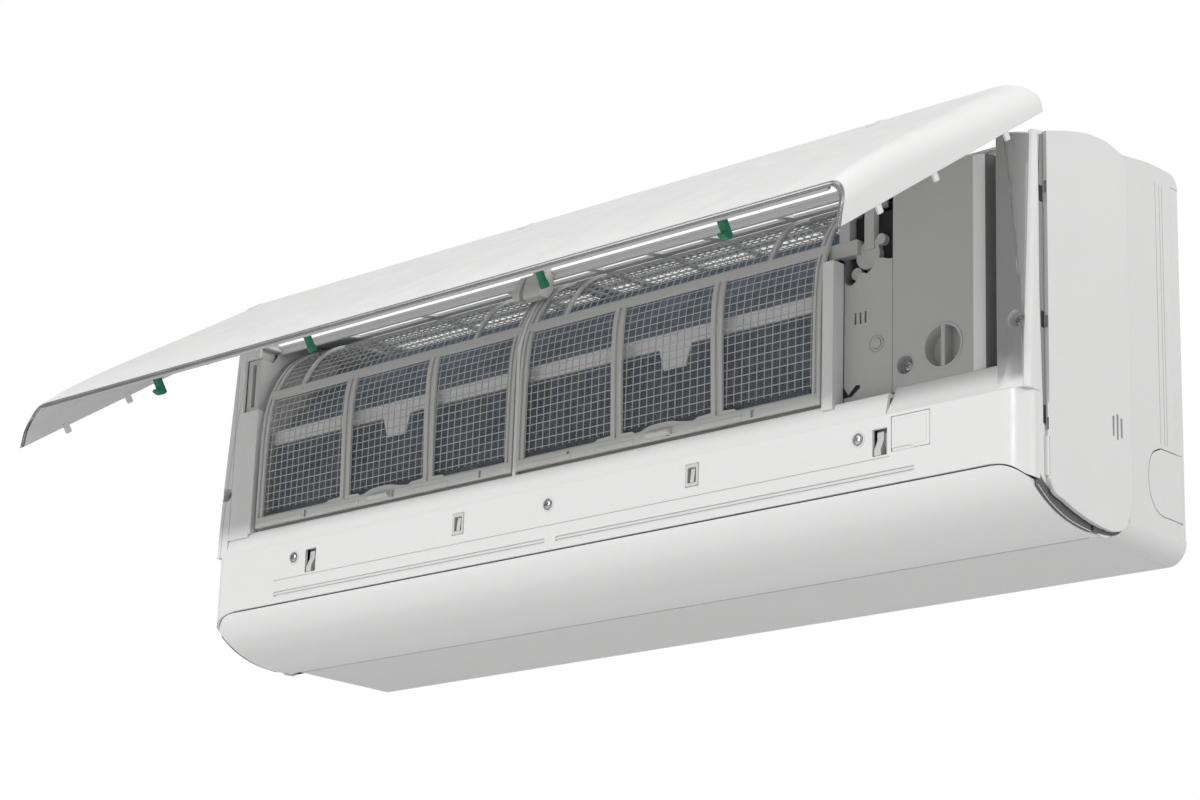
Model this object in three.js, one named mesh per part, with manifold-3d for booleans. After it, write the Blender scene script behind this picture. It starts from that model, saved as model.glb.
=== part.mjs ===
// Wall-mounted mini split indoor unit with its front panel lifted open.
// Millimetres, +Z up, +X to the right seen from the room, -Y into the room.
// The origin is the centre of the mounting plate's back face, on the wall.
import * as THREE from 'three';
import { mergeVertices } from 'three/addons/utils/BufferGeometryUtils.js';
import Module from 'manifold-3d';

const wasm = await Module();
wasm.setup();

// ---- driving dimensions -------------------------------------------------
const BASE_Z = -150;             // underside of the chassis, below the plate centre
const HALF_CHASSIS = 425;        // half width of the rear chassis
const HALF_CHEEK = 428.5;        // half width over the side cheeks
const HEIGHT = 300;              // chassis height
const SHELL = 2.5;               // wall of the main mouldings
const STRIP_Y = -201;            // front face of the lower strip
const STRIP_TOP = 86;            // top of the strip's flat face
const CHEEK_FRONT = -178;        // front edge of the side cheeks
const FILTER_L = [-378, -70];    // left filter, from and to in x
const FILTER_R = [-65, 243];     // right filter
const EBOX_FACE = -187;          // front face of the electrical box
const HINGE = [-178.5, 294];     // panel hinge axis (y, z)
const PANEL_OPEN = 56;           // degrees the panel is lifted
const PANEL_FRONT = -206;        // panel's lower front edge when shut
const PANEL_BACK = -179.5;        // rear edge of the panel's wings when shut
const PANEL_TOP = 297;
const LOUVRE_AXIS = [-109, 2.6]; // louvre hinge (y, z)
const FAN_C = [-88, 118];        // cross-flow fan centre (y, z)
const FAN_R = 48;
const FAN_X = [-372, 232];
const SWING_C = [-143, 40];      // swing blade centre (y, z)
const SWING_X = [186, 82, -22, -126, -230, -334];
const SWING_ARM = 12;            // offset of the link pins from the blade axis
const HOOK_X = [300, 124];       // outer and inner panel hooks

// ---- small helpers ------------------------------------------------------
function solid(geometry) {
  const g = geometry.index ? geometry.clone() : geometry;
  g.deleteAttribute('normal');
  g.deleteAttribute('uv');
  const m = mergeVertices(g, 1e-4);
  return new wasm.Manifold(new wasm.Mesh({
    numProp: 3,
    vertProperties: new Float32Array(m.attributes.position.array),
    triVerts: new Uint32Array(m.index.array),
  }));
}
function toGeometry(m) {
  const mesh = m.getMesh();
  const g = new THREE.BufferGeometry();
  const n = mesh.numProp;
  const count = mesh.vertProperties.length / n;
  const pos = new Float32Array(count * 3);
  for (let i = 0; i < count; i++) for (let k = 0; k < 3; k++) pos[i * 3 + k] = mesh.vertProperties[i * n + k];
  g.setAttribute('position', new THREE.BufferAttribute(pos, 3));
  g.setIndex(new THREE.BufferAttribute(new Uint32Array(mesh.triVerts), 1));
  g.computeVertexNormals();
  return g;
}
const shapeOf = (pts) => new THREE.Shape(pts.map((p) => new THREE.Vector2(p[0], p[1])));
const raw = (pts, depth) => new THREE.ExtrudeGeometry(shapeOf(pts), { depth, bevelEnabled: false, steps: 1 });
const M = (...rows) => new THREE.Matrix4().set(...rows);
const prism = (pts, depth, matrix, holes = []) => holes.reduce(
  (m, h) => m.subtract(solid(raw(h, depth + 2).translate(0, 0, -1).applyMatrix4(matrix))),
  solid(raw(pts, depth).applyMatrix4(matrix)),
);
// outline (y, z) pushed from x0 to x1
const alongX = (pts, x0, x1, holes) => prism(pts, x1 - x0, M(0, 0, 1, x0, 1, 0, 0, 0, 0, 1, 0, 0, 0, 0, 0, 1), holes);
// outline (x, z) pushed from y0 (rear) to y1 (front, more negative)
const alongY = (pts, y0, y1, holes) => prism(pts, y0 - y1, M(1, 0, 0, 0, 0, 0, -1, y0, 0, 1, 0, 0, 0, 0, 0, 1), holes);
// outline (x, y) pushed from z0 to z1
const alongZ = (pts, z0, z1, holes) => prism(pts, z1 - z0, M(1, 0, 0, 0, 0, 1, 0, 0, 0, 0, 1, z0, 0, 0, 0, 1), holes);
const box = (x0, x1, y0, y1, z0, z1) => solid(new THREE.BoxGeometry(x1 - x0, y1 - y0, z1 - z0).translate((x0 + x1) / 2, (y0 + y1) / 2, (z0 + z1) / 2));
const ring = (cx, cy, r, n = 16, a0 = 0) => Array.from({ length: n }, (_, i) => [cx + r * Math.cos(a0 + (i / n) * 2 * Math.PI), cy + r * Math.sin(a0 + (i / n) * 2 * Math.PI)]);
const arc = (cx, cy, r, d0, d1, n) => Array.from({ length: n + 1 }, (_, i) => { const a = ((d0 + ((d1 - d0) * i) / n) * Math.PI) / 180; return [cx + r * Math.cos(a), cy + r * Math.sin(a)]; });
const all = (...parts) => parts.flat().reduce((a, b) => a.add(b));
const cut = (a, ...tools) => tools.flat().reduce((m, t) => m.subtract(t), a);
const mirrorX = (pts) => pts.map(([x, y]) => [-x, y]).reverse();
const mirrored = (m) => { // mirror a solid in the plane x = 0
  const g = toGeometry(m).toNonIndexed();
  const p = g.attributes.position.array;
  for (let i = 0; i < p.length; i += 9) {
    for (let k = 0; k < 3; k++) { const t = p[i + 3 + k]; p[i + 3 + k] = p[i + 6 + k]; p[i + 6 + k] = t; }
    for (let k = 0; k < 9; k += 3) p[i + k] = -p[i + k];
  }
  return solid(g);
};
// thin sheet from a polyline in (y, z): the line and the same line moved by the sheet thickness
function offsetLine(pts, t) {
  return pts.map((p, i) => {
    const a = pts[Math.max(i - 1, 0)], b = pts[Math.min(i + 1, pts.length - 1)];
    const dx = b[0] - a[0], dy = b[1] - a[1], l = Math.hypot(dx, dy);
    return [p[0] - (dy / l) * t, p[1] + (dx / l) * t];
  });
}
const sheetLine = (pts, t) => [...pts, ...offsetLine(pts, t).reverse()];

const group = new THREE.Group();
const base = new THREE.Group();
base.position.z = BASE_Z;
group.add(base);
const mat = (color, roughness = 0.5, metalness = 0) => new THREE.MeshStandardMaterial({ color, roughness, metalness });
const WHITE = mat(0xe6e6e4, 0.45), SHADE = mat(0xdcdcda, 0.5), GREY = mat(0x9c9c9c, 0.6), DARK = mat(0x2b2d30, 0.6);
const FIN = mat(0x51687e, 0.4, 0.7), STEEL = mat(0xb9bcbe, 0.4, 0.8), COPPER = mat(0xb87344, 0.35, 0.9), GREEN = mat(0x0b7a58, 0.5);
const CHROME = mat(0xb5b7b9, 0.2, 0.9), BOARD = mat(0x1f6b3c, 0.6), MESH = mat(0x8b8d8e, 0.7), BLACK = mat(0x1b1c1e, 0.7), BRASS = mat(0xc9a24b, 0.35, 0.8);
function put(name, m, material, parent = base) {
  const mesh = new THREE.Mesh(m.isBufferGeometry ? m : toGeometry(m), material);
  mesh.name = name;
  parent.add(mesh);
  return mesh;
}

// ---- mounting plate: pressed steel with upper hooks ----------------------
{
  const holes = [[-250, 95], [-250, 205], [250, 95], [250, 205], [-90, 150], [90, 150]].map(([x, z]) => ring(x, z, 2.75, 10));
  const windows = [[-220, -110], [110, 220]].map(([a, b]) => [[a, 130], [a, 175], [b, 175], [b, 130]]);
  let p = alongY([[-300, 65], [300, 65], [300, 235], [-300, 235]], 0, -1.5, [...holes, ...windows]);
  for (const x of [-180, 180]) p = all(p, alongX([[-1.4, 226], [-8.2, 226], [-8.2, 250.2], [-6.6, 250.2], [-6.6, 228], [-1.4, 228]], x - 20, x + 20));
  for (const x of [-180, 180]) p = all(p, alongX([[-1.4, 66], [-7.2, 66], [-7.2, 50], [-5.8, 50], [-5.8, 64.5], [-1.4, 64.5]], x - 12, x + 12));
  put('mounting_plate', p, STEEL);
}

// ---- rear chassis --------------------------------------------------------
{
  const outer = [[-105.5, 0], ...arc(-2.2, 2.2, 2.2, 270, 360, 2), [0, 28], [-10, 28], [-10, 272], [0, 272], ...arc(-12, 288, 12, 0, 90, 3), [-40, 299.4]];
  const inner = [[-40, 297], [-12, 297.5], [-2.5, 288], [-2.5, 274.5], [-12.5, 274.5], [-12.5, 25.5], [-2.5, 25.5], [-2.5, 2.5], [-105.5, 2.5]];
  let c = alongX([...outer, ...inner], -HALF_CHASSIS, HALF_CHASSIS);
  const side = [[-74.6, 2], ...arc(-2.2, 2.2, 2.1, 270, 360, 2), ...arc(-12, 288, 11.9, 0, 90, 3), [-40, 299.4], [-74.6, 294.5]];
  // the lower side edge is well rounded, so the wall is thick there
  const under = [[406, -1], ...arc(408, 17, 17, 270, 360, 4), [426.5, 17], [426.5, -1]];
  const cheek = all(alongX(side, HALF_CHASSIS - SHELL, HALF_CHASSIS), box(405.5, HALF_CHASSIS - 0.2, -74.6, -2, 0.4, 20));
  c = all(c, cheek, mirrored(cheek));
  c = cut(c, alongY(under, 1, -74.7), alongY(mirrorX(under), 1, -74.7));
  // window for the pipes behind the lower right corner, and the hanging ledge for the plate hooks
  c = cut(c, box(120, 330, -13.5, -9, 34, 66), box(-404, -300, -13.5, -9, 34, 66));
  for (const x of [-180, 180]) c = all(c, alongX([[-10.4, 250.5], [-10.4, 254], [-2.6, 254], [-2.6, 240], [-5.6, 240], [-5.6, 250.5]], x - 24, x + 24));
  c = cut(c, [-1, 1].map((s) => box(s < 0 ? -426 : 422.6, s < 0 ? -422.6 : 426, -110, -75, -1, 5))); // room for the front frame's sides
  // pipe knock-out in the right side, closed by its own cover
  const knock = (g) => [[-3.2 - g, 29.4 + g], [-31 + g, 29.4 + g], [-38.5 + g, 32 + g], [-44.6 + g, 38.2 + g], [-48.2 + g, 47], [-48.6 + g, 59.6], [-46.6 + g, 69.4], [-41.8 + g, 76 - g], [-32 + g, 80.6 - g], [-3.2 - g, 81 - g]];
  c = cut(c, alongX(knock(0), HALF_CHASSIS - 4, HALF_CHASSIS + 1));
  put('rear_chassis', c, SHADE);
  put('pipe_cover', all(alongX(knock(0.4), HALF_CHASSIS - 2.2, HALF_CHASSIS), box(HALF_CHASSIS - 3.6, HALF_CHASSIS - 2.1, -42, -8, 40, 71)), SHADE);
}

// ---- air guide behind the fan, and the two inner end walls ---------------
const guide = [[-56, 171], [-41, 152], [-33.5, 132], [-31.5, 112], [-36, 88], [-50, 62], [-73, 36], [-103.5, 13.5], [-103.5, 2.8]];
put('rear_air_guide', alongX(sheetLine(guide, 2.5).map(([y, z]) => [y, z]), -386, 246), GREY);
{
  const wall = [[-47, 96], [-16, 96], [-16, 262], [-40, 284.5], [-76, 284.5], [-112, 283], [-150, 262], [-181, 212], [-184, 98], [-137, 66], [-106.5, 30], [-100, 4.2], [-47, 4.2]];
  const hubL = ring(FAN_C[0], FAN_C[1], 9.5, 16), drain = ring(-150, 98, 6.4, 12);
  put('left_end_wall', alongX(wall, -390.5, -388, [hubL, drain]), GREY);
  put('right_end_wall', alongX(wall, 250.3, 252.8, [ring(FAN_C[0], FAN_C[1], 12, 16), ring(-60, 226, 7, 10), ring(-70, 250, 5.5, 10)]), GREY);
}

// ---- the lifted panel's shape when shut: outer face by height, and how it turns into the wings
const FACE = [[5, -203], [38, -206], [60, -208.2], [85, -209.3], [115, -209.4], [150, -208.6], [210, -207], [260, -205.8], [297, -205]];
const plan = (z, y0, out, back = PANEL_BACK) => {
  const t = Math.min(Math.max((z - 40) / 257, 0), 1), hx = HALF_CHEEK - out, rx = 15 + 21 * t - out, ry = 15 + 9.5 * t - out;
  const corner = (a, b, sx) => arc(0, 0, 1, a, b, 6).map(([u, v]) => [sx * (hx - rx) + rx * u, y0 + out + ry + ry * v]);
  return [[-hx, back], ...corner(180, 270, -1), ...corner(270, 360, 1), [hx, back]];
};
const loft = (rows, closed) => {
  const n = rows[0].length, h = n / 2, tri = [], last = rows.length - 1;
  const id = (r, k) => r * n + ((k + n) % n);
  for (let r = 0; r < last; r++) for (let k = 0; k < n; k++) tri.push(id(r, k), id(r, k + 1), id(r + 1, k + 1), id(r, k), id(r + 1, k + 1), id(r + 1, k));
  if (closed) for (let k = 1; k + 1 < n; k++) tri.push(id(0, 0), id(0, k + 1), id(0, k), id(last, 0), id(last, k), id(last, k + 1));
  else for (let k = 0; k + 1 < h; k++) {
    const m = n - 1 - k;
    tri.push(id(0, k), id(0, m), id(0, m - 1), id(0, k), id(0, m - 1), id(0, k + 1));
    tri.push(id(last, k), id(last, m - 1), id(last, m), id(last, k), id(last, k + 1), id(last, m - 1));
  }
  return new wasm.Manifold(new wasm.Mesh({ numProp: 3, vertProperties: new Float32Array(rows.flat(2)), triVerts: new Uint32Array(tri) }));
};
const shell = (o0, o1) => loft(FACE.map(([z, y]) => [...plan(z, y, o0).map((p) => [...p, z]), ...plan(z, y, o1).reverse().map((p) => [...p, z])]));
const inside = (o) => loft(FACE.map(([z, y]) => plan(z, y, o, -90).map((p) => [...p, z])), true);

// ---- front frame: cheeks, strip, shelf, columns and top grille ------------
const cheekOutline = [[CHEEK_FRONT, 25], [-172, 16.2], [-161, 13], [-146, 8.6], [-125, 4.6], [-106, 3.2], [-92, 5.4], [-83, 12], [-75.4, 29], [-75.4, 289], [-84, 292.4], [-93, 294.2], [-104, 295.6], [-125, 294], [-150, 288.2], [CHEEK_FRONT, 279.6]];
const topLine = [[-40.6, 297], [-102, 295.2], [-125, 293.4], [-150, 288], [-164, 284.2], [-175, 279.5]];
const stripPlan = (inset) => [[-425 + inset, -185], ...arc(-411, -187, 14 - inset, 180, 270, 5), ...arc(411, -187, 14 - inset, 270, 360, 5), [425 - inset, -185]];
const vaneTop = [[-430, 10], [430, 10], [430, 21], [421, 25], [413, 30.6], [404, 33.8], [394, 35], [-394, 35], [-404, 33.8], [-413, 30.6], [-421, 25], [-430, 21]];
{
  const sideWall = [[-75.4, 29], [-83, 12], [-92, 5.4], [-104, -1.6], [-113, -1.6], [-119, 5], [-146, 9.8], [-161, 14.6], [-172, 18.4], [-180, 22.5], [-188, 29], [-188, 100.4], [-200, 100.4], [-200, 276], [-188, 279], [-176, 280], [-150, 287.6], [-125, 293], [-104, 294.6], [-84, 291.8], [-75.4, 288]];
  const right = all(
    alongX(sideWall, 422.9, 425),
    alongX(cheekOutline, 424.9, HALF_CHEEK),
  );
  const rightCut = cut(right, alongX(ring(LOUVRE_AXIS[0], LOUVRE_AXIS[1], 2.3, 10), 422, 426),
    [238, 138, 64].map((z) => box(425.3, 427.8, -179, -172, z - 4.5, z + 4.5)), // slots for the panel's wing tabs
    [[-88.2, 74, 89], [-93.3, 71.6, 90.8], [-98.5, 73.4, 88.4]].map(([y, a, b]) => box(424, 430, y - 1.2, y + 1.2, a, b))); // three slots in the cheek
  let f = all(rightCut, mirrored(rightCut));
  // lower strip with rounded ends, cut to the louvre's upper edge
  const strip = cut(alongZ([...stripPlan(0), ...stripPlan(SHELL).reverse()], 18, STRIP_TOP + 0.4), alongY(vaneTop, -150, -210));
  f = all(f, strip);
  // sloping shelf above the strip, with the ledge under the filters
  const shelf = [[STRIP_Y, STRIP_TOP], [-197.4, 102], [-191.6, 104], [-191.6, 101.6], [-195, 99.9], [STRIP_Y + 2.5, STRIP_TOP]];
  f = all(f, alongX(shelf, -411, 305), alongX([[STRIP_Y, 80], [STRIP_Y, STRIP_TOP + 0.1], [-187, 110], [-187, 107], [STRIP_Y + 2.5, 83]], 304.5, 402), box(-425, -384.6, -200, -197.4, 99.8, 276), box(-425, -410.6, -200, -197.4, 85.9, 100), box(-425, -405, -200, -186, 99.8, 102.4));
  // left column return and right column (rib beside the filter, face with a deep screw hole)
  f = all(f, box(-384.6, -382, -200, -178, 103, 232), box(246, 256, -200, -187.6, 100, 214), box(401, 425, -200.5, -197.9, 85.9, 276), box(401, 403.4, -198, -170, 99.8, 276));
  f = all(f, box(-425, -421, -200, -190, 99.8, 276), box(380, 403, -173, -170.5, 99.8, 276));
  // top: grille between the filters' top and the cheeks, front beam
  let top = alongX([...topLine, ...topLine.map(([y, z]) => [y, z - 2.6]).reverse()], -424, 424);
  top = all(top, alongX([[-164, 284.9], [-174.5, 279.6], [-174.5, 272], [-171.9, 272], [-171.9, 278], [-164, 281.6]], -424, 424));
  const rows = [[-160, -126], [-118, -92], [-85, -64], [-58, -46]];
  const cells = [[-337, -247], [-239, -143], [-135, -50], [-42, 14], [22, 74], [82, 150], [158, 232]];
  const holes = [];
  for (const [a, b] of rows) for (const [c, d] of cells) holes.push(box(c, d, a, b, 270, 300));
  // columns carry the beam
  top = cut(top, holes, box(422.2, 430, -75.2, -35, 270, 300), box(-430, -422.2, -75.2, -35, 270, 300));
  f = all(f, top, box(-425, -384.6, -200, -174, 273.4, 276), box(401, 425, -200, -174, 273.4, 276), alongX([[-174, 273.4], [-200, 273.4], [-200, 276], [-174, 280]], -425, -422), alongX([[-174, 273.4], [-200, 273.4], [-200, 276], [-174, 280]], 422, 425));
  // centre post between the filters, with the hinge seat on top
  f = all(f, alongX([[-197, 103], [-197, 210], [-190, 231], [-181, 249], [-173, 262], [-173, 274], [-171.8, 274], [-171.8, 260], [-178, 248], [-187, 229], [-193, 210], [-193, 103]], -69.2, -65.8));
  f = all(f, alongX([[-193.5, 109], [-193.5, 210], [-187.2, 228], [-180, 242.5], [-172, 256], [-172, 282], [-164, 282], [-164, 256], [-176.6, 236], [-185, 212], [-188.4, 200], [-188.4, 109]], -69.2, -65.8));
  // the outer corners beside the columns are rounded to lie just inside the shut panel
  const corners = [-1, 1].map((q) => box(Math.min(q * 394, q * 440), Math.max(q * 394, q * 440), -216, -179.6, 85.5, 300));
  const room = inside(3.1);
  f = cut(f, corners.map((b) => b.subtract(room)));
  f = all(f, shell(3.1, 5.7).intersect(all([-1, 1].map((q) => box(Math.min(q * 401, q * 440), Math.max(q * 401, q * 440), -200.3, -184, 86, 276)))));
  // catch openings, screw seats, groove
  for (const s of [-1, 1]) {
    f = cut(f, box(s * 300 - 6.5, s * 300 + 6.5, -204, -195, 57, 77), box(s * 124 - 6.5, s * 124 + 6.5, -204, -195, 62.5, 80.5));
  }
  for (const x of [-321, -24.6, 280.5]) f = cut(f, alongY(ring(x, 72, 2.6, 10), -195, -204));
  f = all(f, box(409, 423, -198.4, -191.2, 129, 143), box(-423, -409, -198, -191.2, 135, 149));
  for (const [x, z] of [[416.2, 136], [-416.2, 142]]) f = cut(f, alongY(ring(x, z, 5, 14), -194.2, -204), alongY(ring(x, z, 2.6, 10), -190, -204));
  // pocket for the left pivot latch and the slot its neck passes
  f = cut(f, box(-402.4, -383.8, -201, -197, 214.4, 262.4), box(-385, -381, -201, -184, 214.4, 232.5), box(-400.6, -390.4, -193, -176, 272, 277));
  f = cut(f, box(-350, 344, -203, -199.9, 41, 44.6));
  f = cut(f, box(310, 344, -203, -196, 58, 84)); // seat of the signal window
  put('front_frame', f, WHITE);
}
put('signal_window', box(310.3, 343.7, -200.9, -198.9, 58.3, 83.7), SHADE);

// ---- strip fittings ------------------------------------------------------
for (const [name, s] of [['catch_insert_left', -1], ['catch_insert_right', 1]]) {
  const x = s * 124;
  put(name, cut(all(box(x - 6.2, x + 6.2, -201.4, -196.5, 62.8, 80.2)), box(x - 4.1, x + 4.1, -205, -190, 65.6, 77.4)), SHADE);
}
const screw = (x, y, z, r = 4.2) => cut(all(alongY(ring(x, z, r, 14), y + 2.4, y), alongY(ring(x, z, 2.1, 8), y + 12, y + 2.3)), box(x - 0.5, x + 0.5, y - 1, y + 1.2, z - 2.4, z + 2.4), box(x - 2.4, x + 2.4, y - 1, y + 1.2, z - 0.5, z + 0.5));
put('strip_screw_left', screw(-321, STRIP_Y - 2.7, 72), STEEL);
put('strip_screw_centre', screw(-24.6, STRIP_Y - 2.7, 72), STEEL);
put('strip_screw_right', screw(280.5, STRIP_Y - 2.7, 72), STEEL);
put('frame_screw_right', screw(416.2, -196.9, 136), STEEL);
put('frame_screw_left', screw(-416.2, -196.9, 142), STEEL);

// ---- evaporator: three finned blocks, pipes ------------------------------
const EV = [-372, 236];
put('evaporator_lower', alongX([[-186, 114], [-162, 114], [-162, 182], [-186, 182]], ...EV), FIN);
put('evaporator_upper', alongX([[-176, 197], [-155, 180], [-94, 255], [-116, 272]], ...EV), FIN);
put('evaporator_rear', alongX([[-78, 268], [-93.3, 255], [-41.3, 193], [-26, 206]], ...EV), FIN);
put('evaporator_joint_strip', all(
  alongX([[-187.8, 182.6], [-184, 182.6], [-177.4, 197.6], [-179, 199], [-187.8, 194.5]], ...EV),
  [-217, 92].map((x) => alongY([[x - 17, 185], [x + 17, 185], [x + 11, 165], [x - 11, 165]], -186.3, -187.8)),
), SHADE);
const tube = (points, r, steps) => solid(new THREE.ExtrudeGeometry(shapeOf(ring(0, 0, r, 8)), { steps, bevelEnabled: false, extrudePath: new THREE.CatmullRomCurve3(points.map((p) => new THREE.Vector3(...p)), false, 'catmullrom', 0.4) }));
put('suction_pipe', tube([[236.4, -60, 226], [262, -60, 226], [274, -56, 212], [272, -34, 150], [262, -26, 80], [240, -24, 52], [200, -24, 48], [60, -24, 48]], 4.8, 26), COPPER);
put('liquid_pipe', tube([[236.4, -70, 250], [264, -70, 250], [284, -62, 236], [284, -40, 150], [276, -40, 60], [262, -42, 40], [230, -40, 30], [60, -40, 30]], 3.2, 26), COPPER);
put('flare_nut_large', alongX(ring(-24, 48, 9.5, 6), 32, 59.6), BRASS);
put('flare_nut_small', alongX(ring(-40, 30, 7, 6), 36, 59.6), BRASS);

// ---- drain pan and drain port ---------------------------------------------
put('drain_pan', all(
  alongX([[-191, 108], [-191, 86], [-150, 79], [-137, 90], [-137, 110], [-140, 110], [-140, 91.5], [-150.5, 82], [-188.5, 88.5], [-188.5, 108]], -381.6, 245.6),
  alongX([[-147, 78.8], [-147, 82.2], [-149.6, 82.2], [-195.5, 48.6], [-195.5, 46.2], [-193.6, 46.2]], -381.6, 245.6), // deflector under the pan
), SHADE);
put('drain_port', cut(alongX(ring(-150, 98, 6, 16), -408, -382), alongX(ring(-150, 98, 4.2, 12), -409, -380)), BLACK);

// ---- cross-flow fan, motor, bearing ---------------------------------------
{
  const discs = [FAN_X[0], -70, FAN_X[1] - 3].map((x) => alongX(ring(FAN_C[0], FAN_C[1], FAN_R - 1, 24), x, x + 3, x === -70 ? [ring(FAN_C[0], FAN_C[1], 34, 12)] : []));
  const blades = [];
  for (let i = 0; i < 24; i++) {
    const a = (i / 24) * 2 * Math.PI, b = a + 0.22;
    const p = (r, t) => [FAN_C[0] + r * Math.cos(t), FAN_C[1] + r * Math.sin(t)];
    blades.push(alongX([p(36, a), p(47.5, b), p(47.8, b + 0.03), p(36.6, a + 0.04)], FAN_X[0] + 1, FAN_X[1] - 1));
  }
  put('fan_rotor', all(discs, blades, alongX(ring(FAN_C[0], FAN_C[1], 4, 12), -398, FAN_X[0] + 1)), DARK);
  put('motor_shaft', alongX(ring(FAN_C[0], FAN_C[1], 4, 12), FAN_X[1] + 0.3, 273.7), STEEL);
  put('fan_bearing', cut(alongX(ring(FAN_C[0], FAN_C[1], 9.2, 16), -396, -384), alongX(ring(FAN_C[0], FAN_C[1], 4.08, 16), -398, -380)), BLACK);
  put('fan_motor', cut(alongX(ring(FAN_C[0], FAN_C[1], 40, 24), 274, 330), alongX(ring(FAN_C[0], FAN_C[1], 9, 12), 273, 276)), STEEL);
  put('motor_clamp', cut(alongX([...arc(FAN_C[0], FAN_C[1], 43.5, -60, 240, 16)], 290, 312), alongX(ring(FAN_C[0], FAN_C[1], 40.4, 24), 280, 320)), GREY);
}

// ---- electrical box --------------------------------------------------------
{
  let e = cut(box(258, 300, EBOX_FACE, -134, 112, 271.2), box(260.5, 301, EBOX_FACE + 2.5, -136.5, 114.5, 268.7));
  e = all(e, cut(box(299.5, 378, -172, -134, 112, 271.2), box(295, 375.5, -180, -136.5, 114.5, 268.7)));
  // recess for the hinge bracket, button seat and the three small slots
  e = cut(e, alongY([[257, 252.4], [301, 252.4], [301, 198.6], [262, 198.6], [257, 204]], -180, -190), box(257, 300.1, -190, -172.4, 252, 275));
  e = cut(e, alongY(ring(286, 147, 4.3, 14), -180, -190), [0, 1, 2].map((i) => box(265.6 + i * 4.6, 267.4 + i * 4.6, -190, -180, 165, 174)));
  put('electrical_box', e, GREY);
  let c = alongZ([[300.4, EBOX_FACE], [376, EBOX_FACE], [381, EBOX_FACE + 1.6], [383.5, EBOX_FACE + 6], [383.5, -175.4], [381, -175.4], [381, -180.5], [378.6, -184], [375, -184.6], [300.4, -184.6]], 112, 272);
  c = all(c, alongY(ring(345, 134, 17.6, 20), -175.6, -184.8));
  c = cut(c, cut(alongY(ring(345, 134, 15.5, 20), -177, -190), box(343.3, 346.7, -190, -170, 110, 160)), alongY(ring(311.8, 127, 2.6, 10), -170, -190));
  put('electrical_cover', c, GREY);
  put('cover_screw', screw(311.8, EBOX_FACE - 2.7, 127), STEEL);
  put('circuit_board', box(268, 372, -146, -144.4, 122, 262), BOARD);
  put('terminal_block', all(box(305, 365, -160, -146.4, 126, 142), [312, 328, 344].map((x) => box(x, x + 10, -163, -159.9, 128, 140))), BLACK);
  put('emergency_button', all(alongY(ring(286, 147, 4, 14), -178, EBOX_FACE - 0.5), alongY(ring(286, 147, 6, 14), -176, -178.1)), GREY);
}

// ---- hinge brackets ---------------------------------------------------------
{
  // an ear on each side of the panel's arm, joined by the pin the arm turns on
  const ear = (x0, x1, foot) => alongX([...foot, ...arc(HINGE[0], HINGE[1], 3.9, 20, 160, 6)], x0, x1);
  const ears = (a, b, foot, t = 3.4) => all(ear(a - 0.9 - t, a - 0.9, foot), ear(b + 0.9, b + 0.9 + t, foot), alongX(ring(HINGE[0], HINGE[1], 1.9, 10), a - 1.2, b + 1.2));
  const lobes = [[275, 217, 14.5], [286.5, 227, 4.5], [267, 204.5, 4.5], [284, 207.5, 4], [265.2, 226, 4]];
  let b = all(lobes.map(([x, z, r]) => alongY(ring(x, z, r, r > 10 ? 20 : 10), -177.5, -185.5)));
  b = all(b, alongY([[262, 226], [288, 226], [288, 262], [281, 262], [281, 236], [272, 236], [272, 262], [262, 262]], -177.5, -183));
  b = all(b, alongY([[262, 255], [288, 255], [288, 275.4], [300.3, 275.4], [300.3, 280], [281, 280], [262, 268.6]], -176.2, -183));
  put('hinge_bracket_right', all(b, ears(290, 296, [[-183, 276], [-176.2, 276]])), GREY);
  const centre = alongX([[-180.8, 254], [-190, 254], [-191, 259], [-189, 267], [-184, 276], [-175, 276], [-175, 262]], -82, -53);
  put('hinge_bracket_centre', all(cut(centre, box(-76, -72, -195, -184, 250, 280)), ears(-64, -60, [[-184, 274], [-175.6, 274]])), GREY);
  let l = cut(box(-401.8, -386.4, -196.9, -182, 215, 262), box(-396, -391.5, -199, -187, 219, 258));
  l = all(l, box(-400, -391, -192, -177, 261.8, 280), box(-404, -387, -190, -176.4, 276.4, 280));
  put('hinge_bracket_left', all(l, ears(-399, -393, [[-186, 278], [-176.4, 278]])), SHADE);
}

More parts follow.
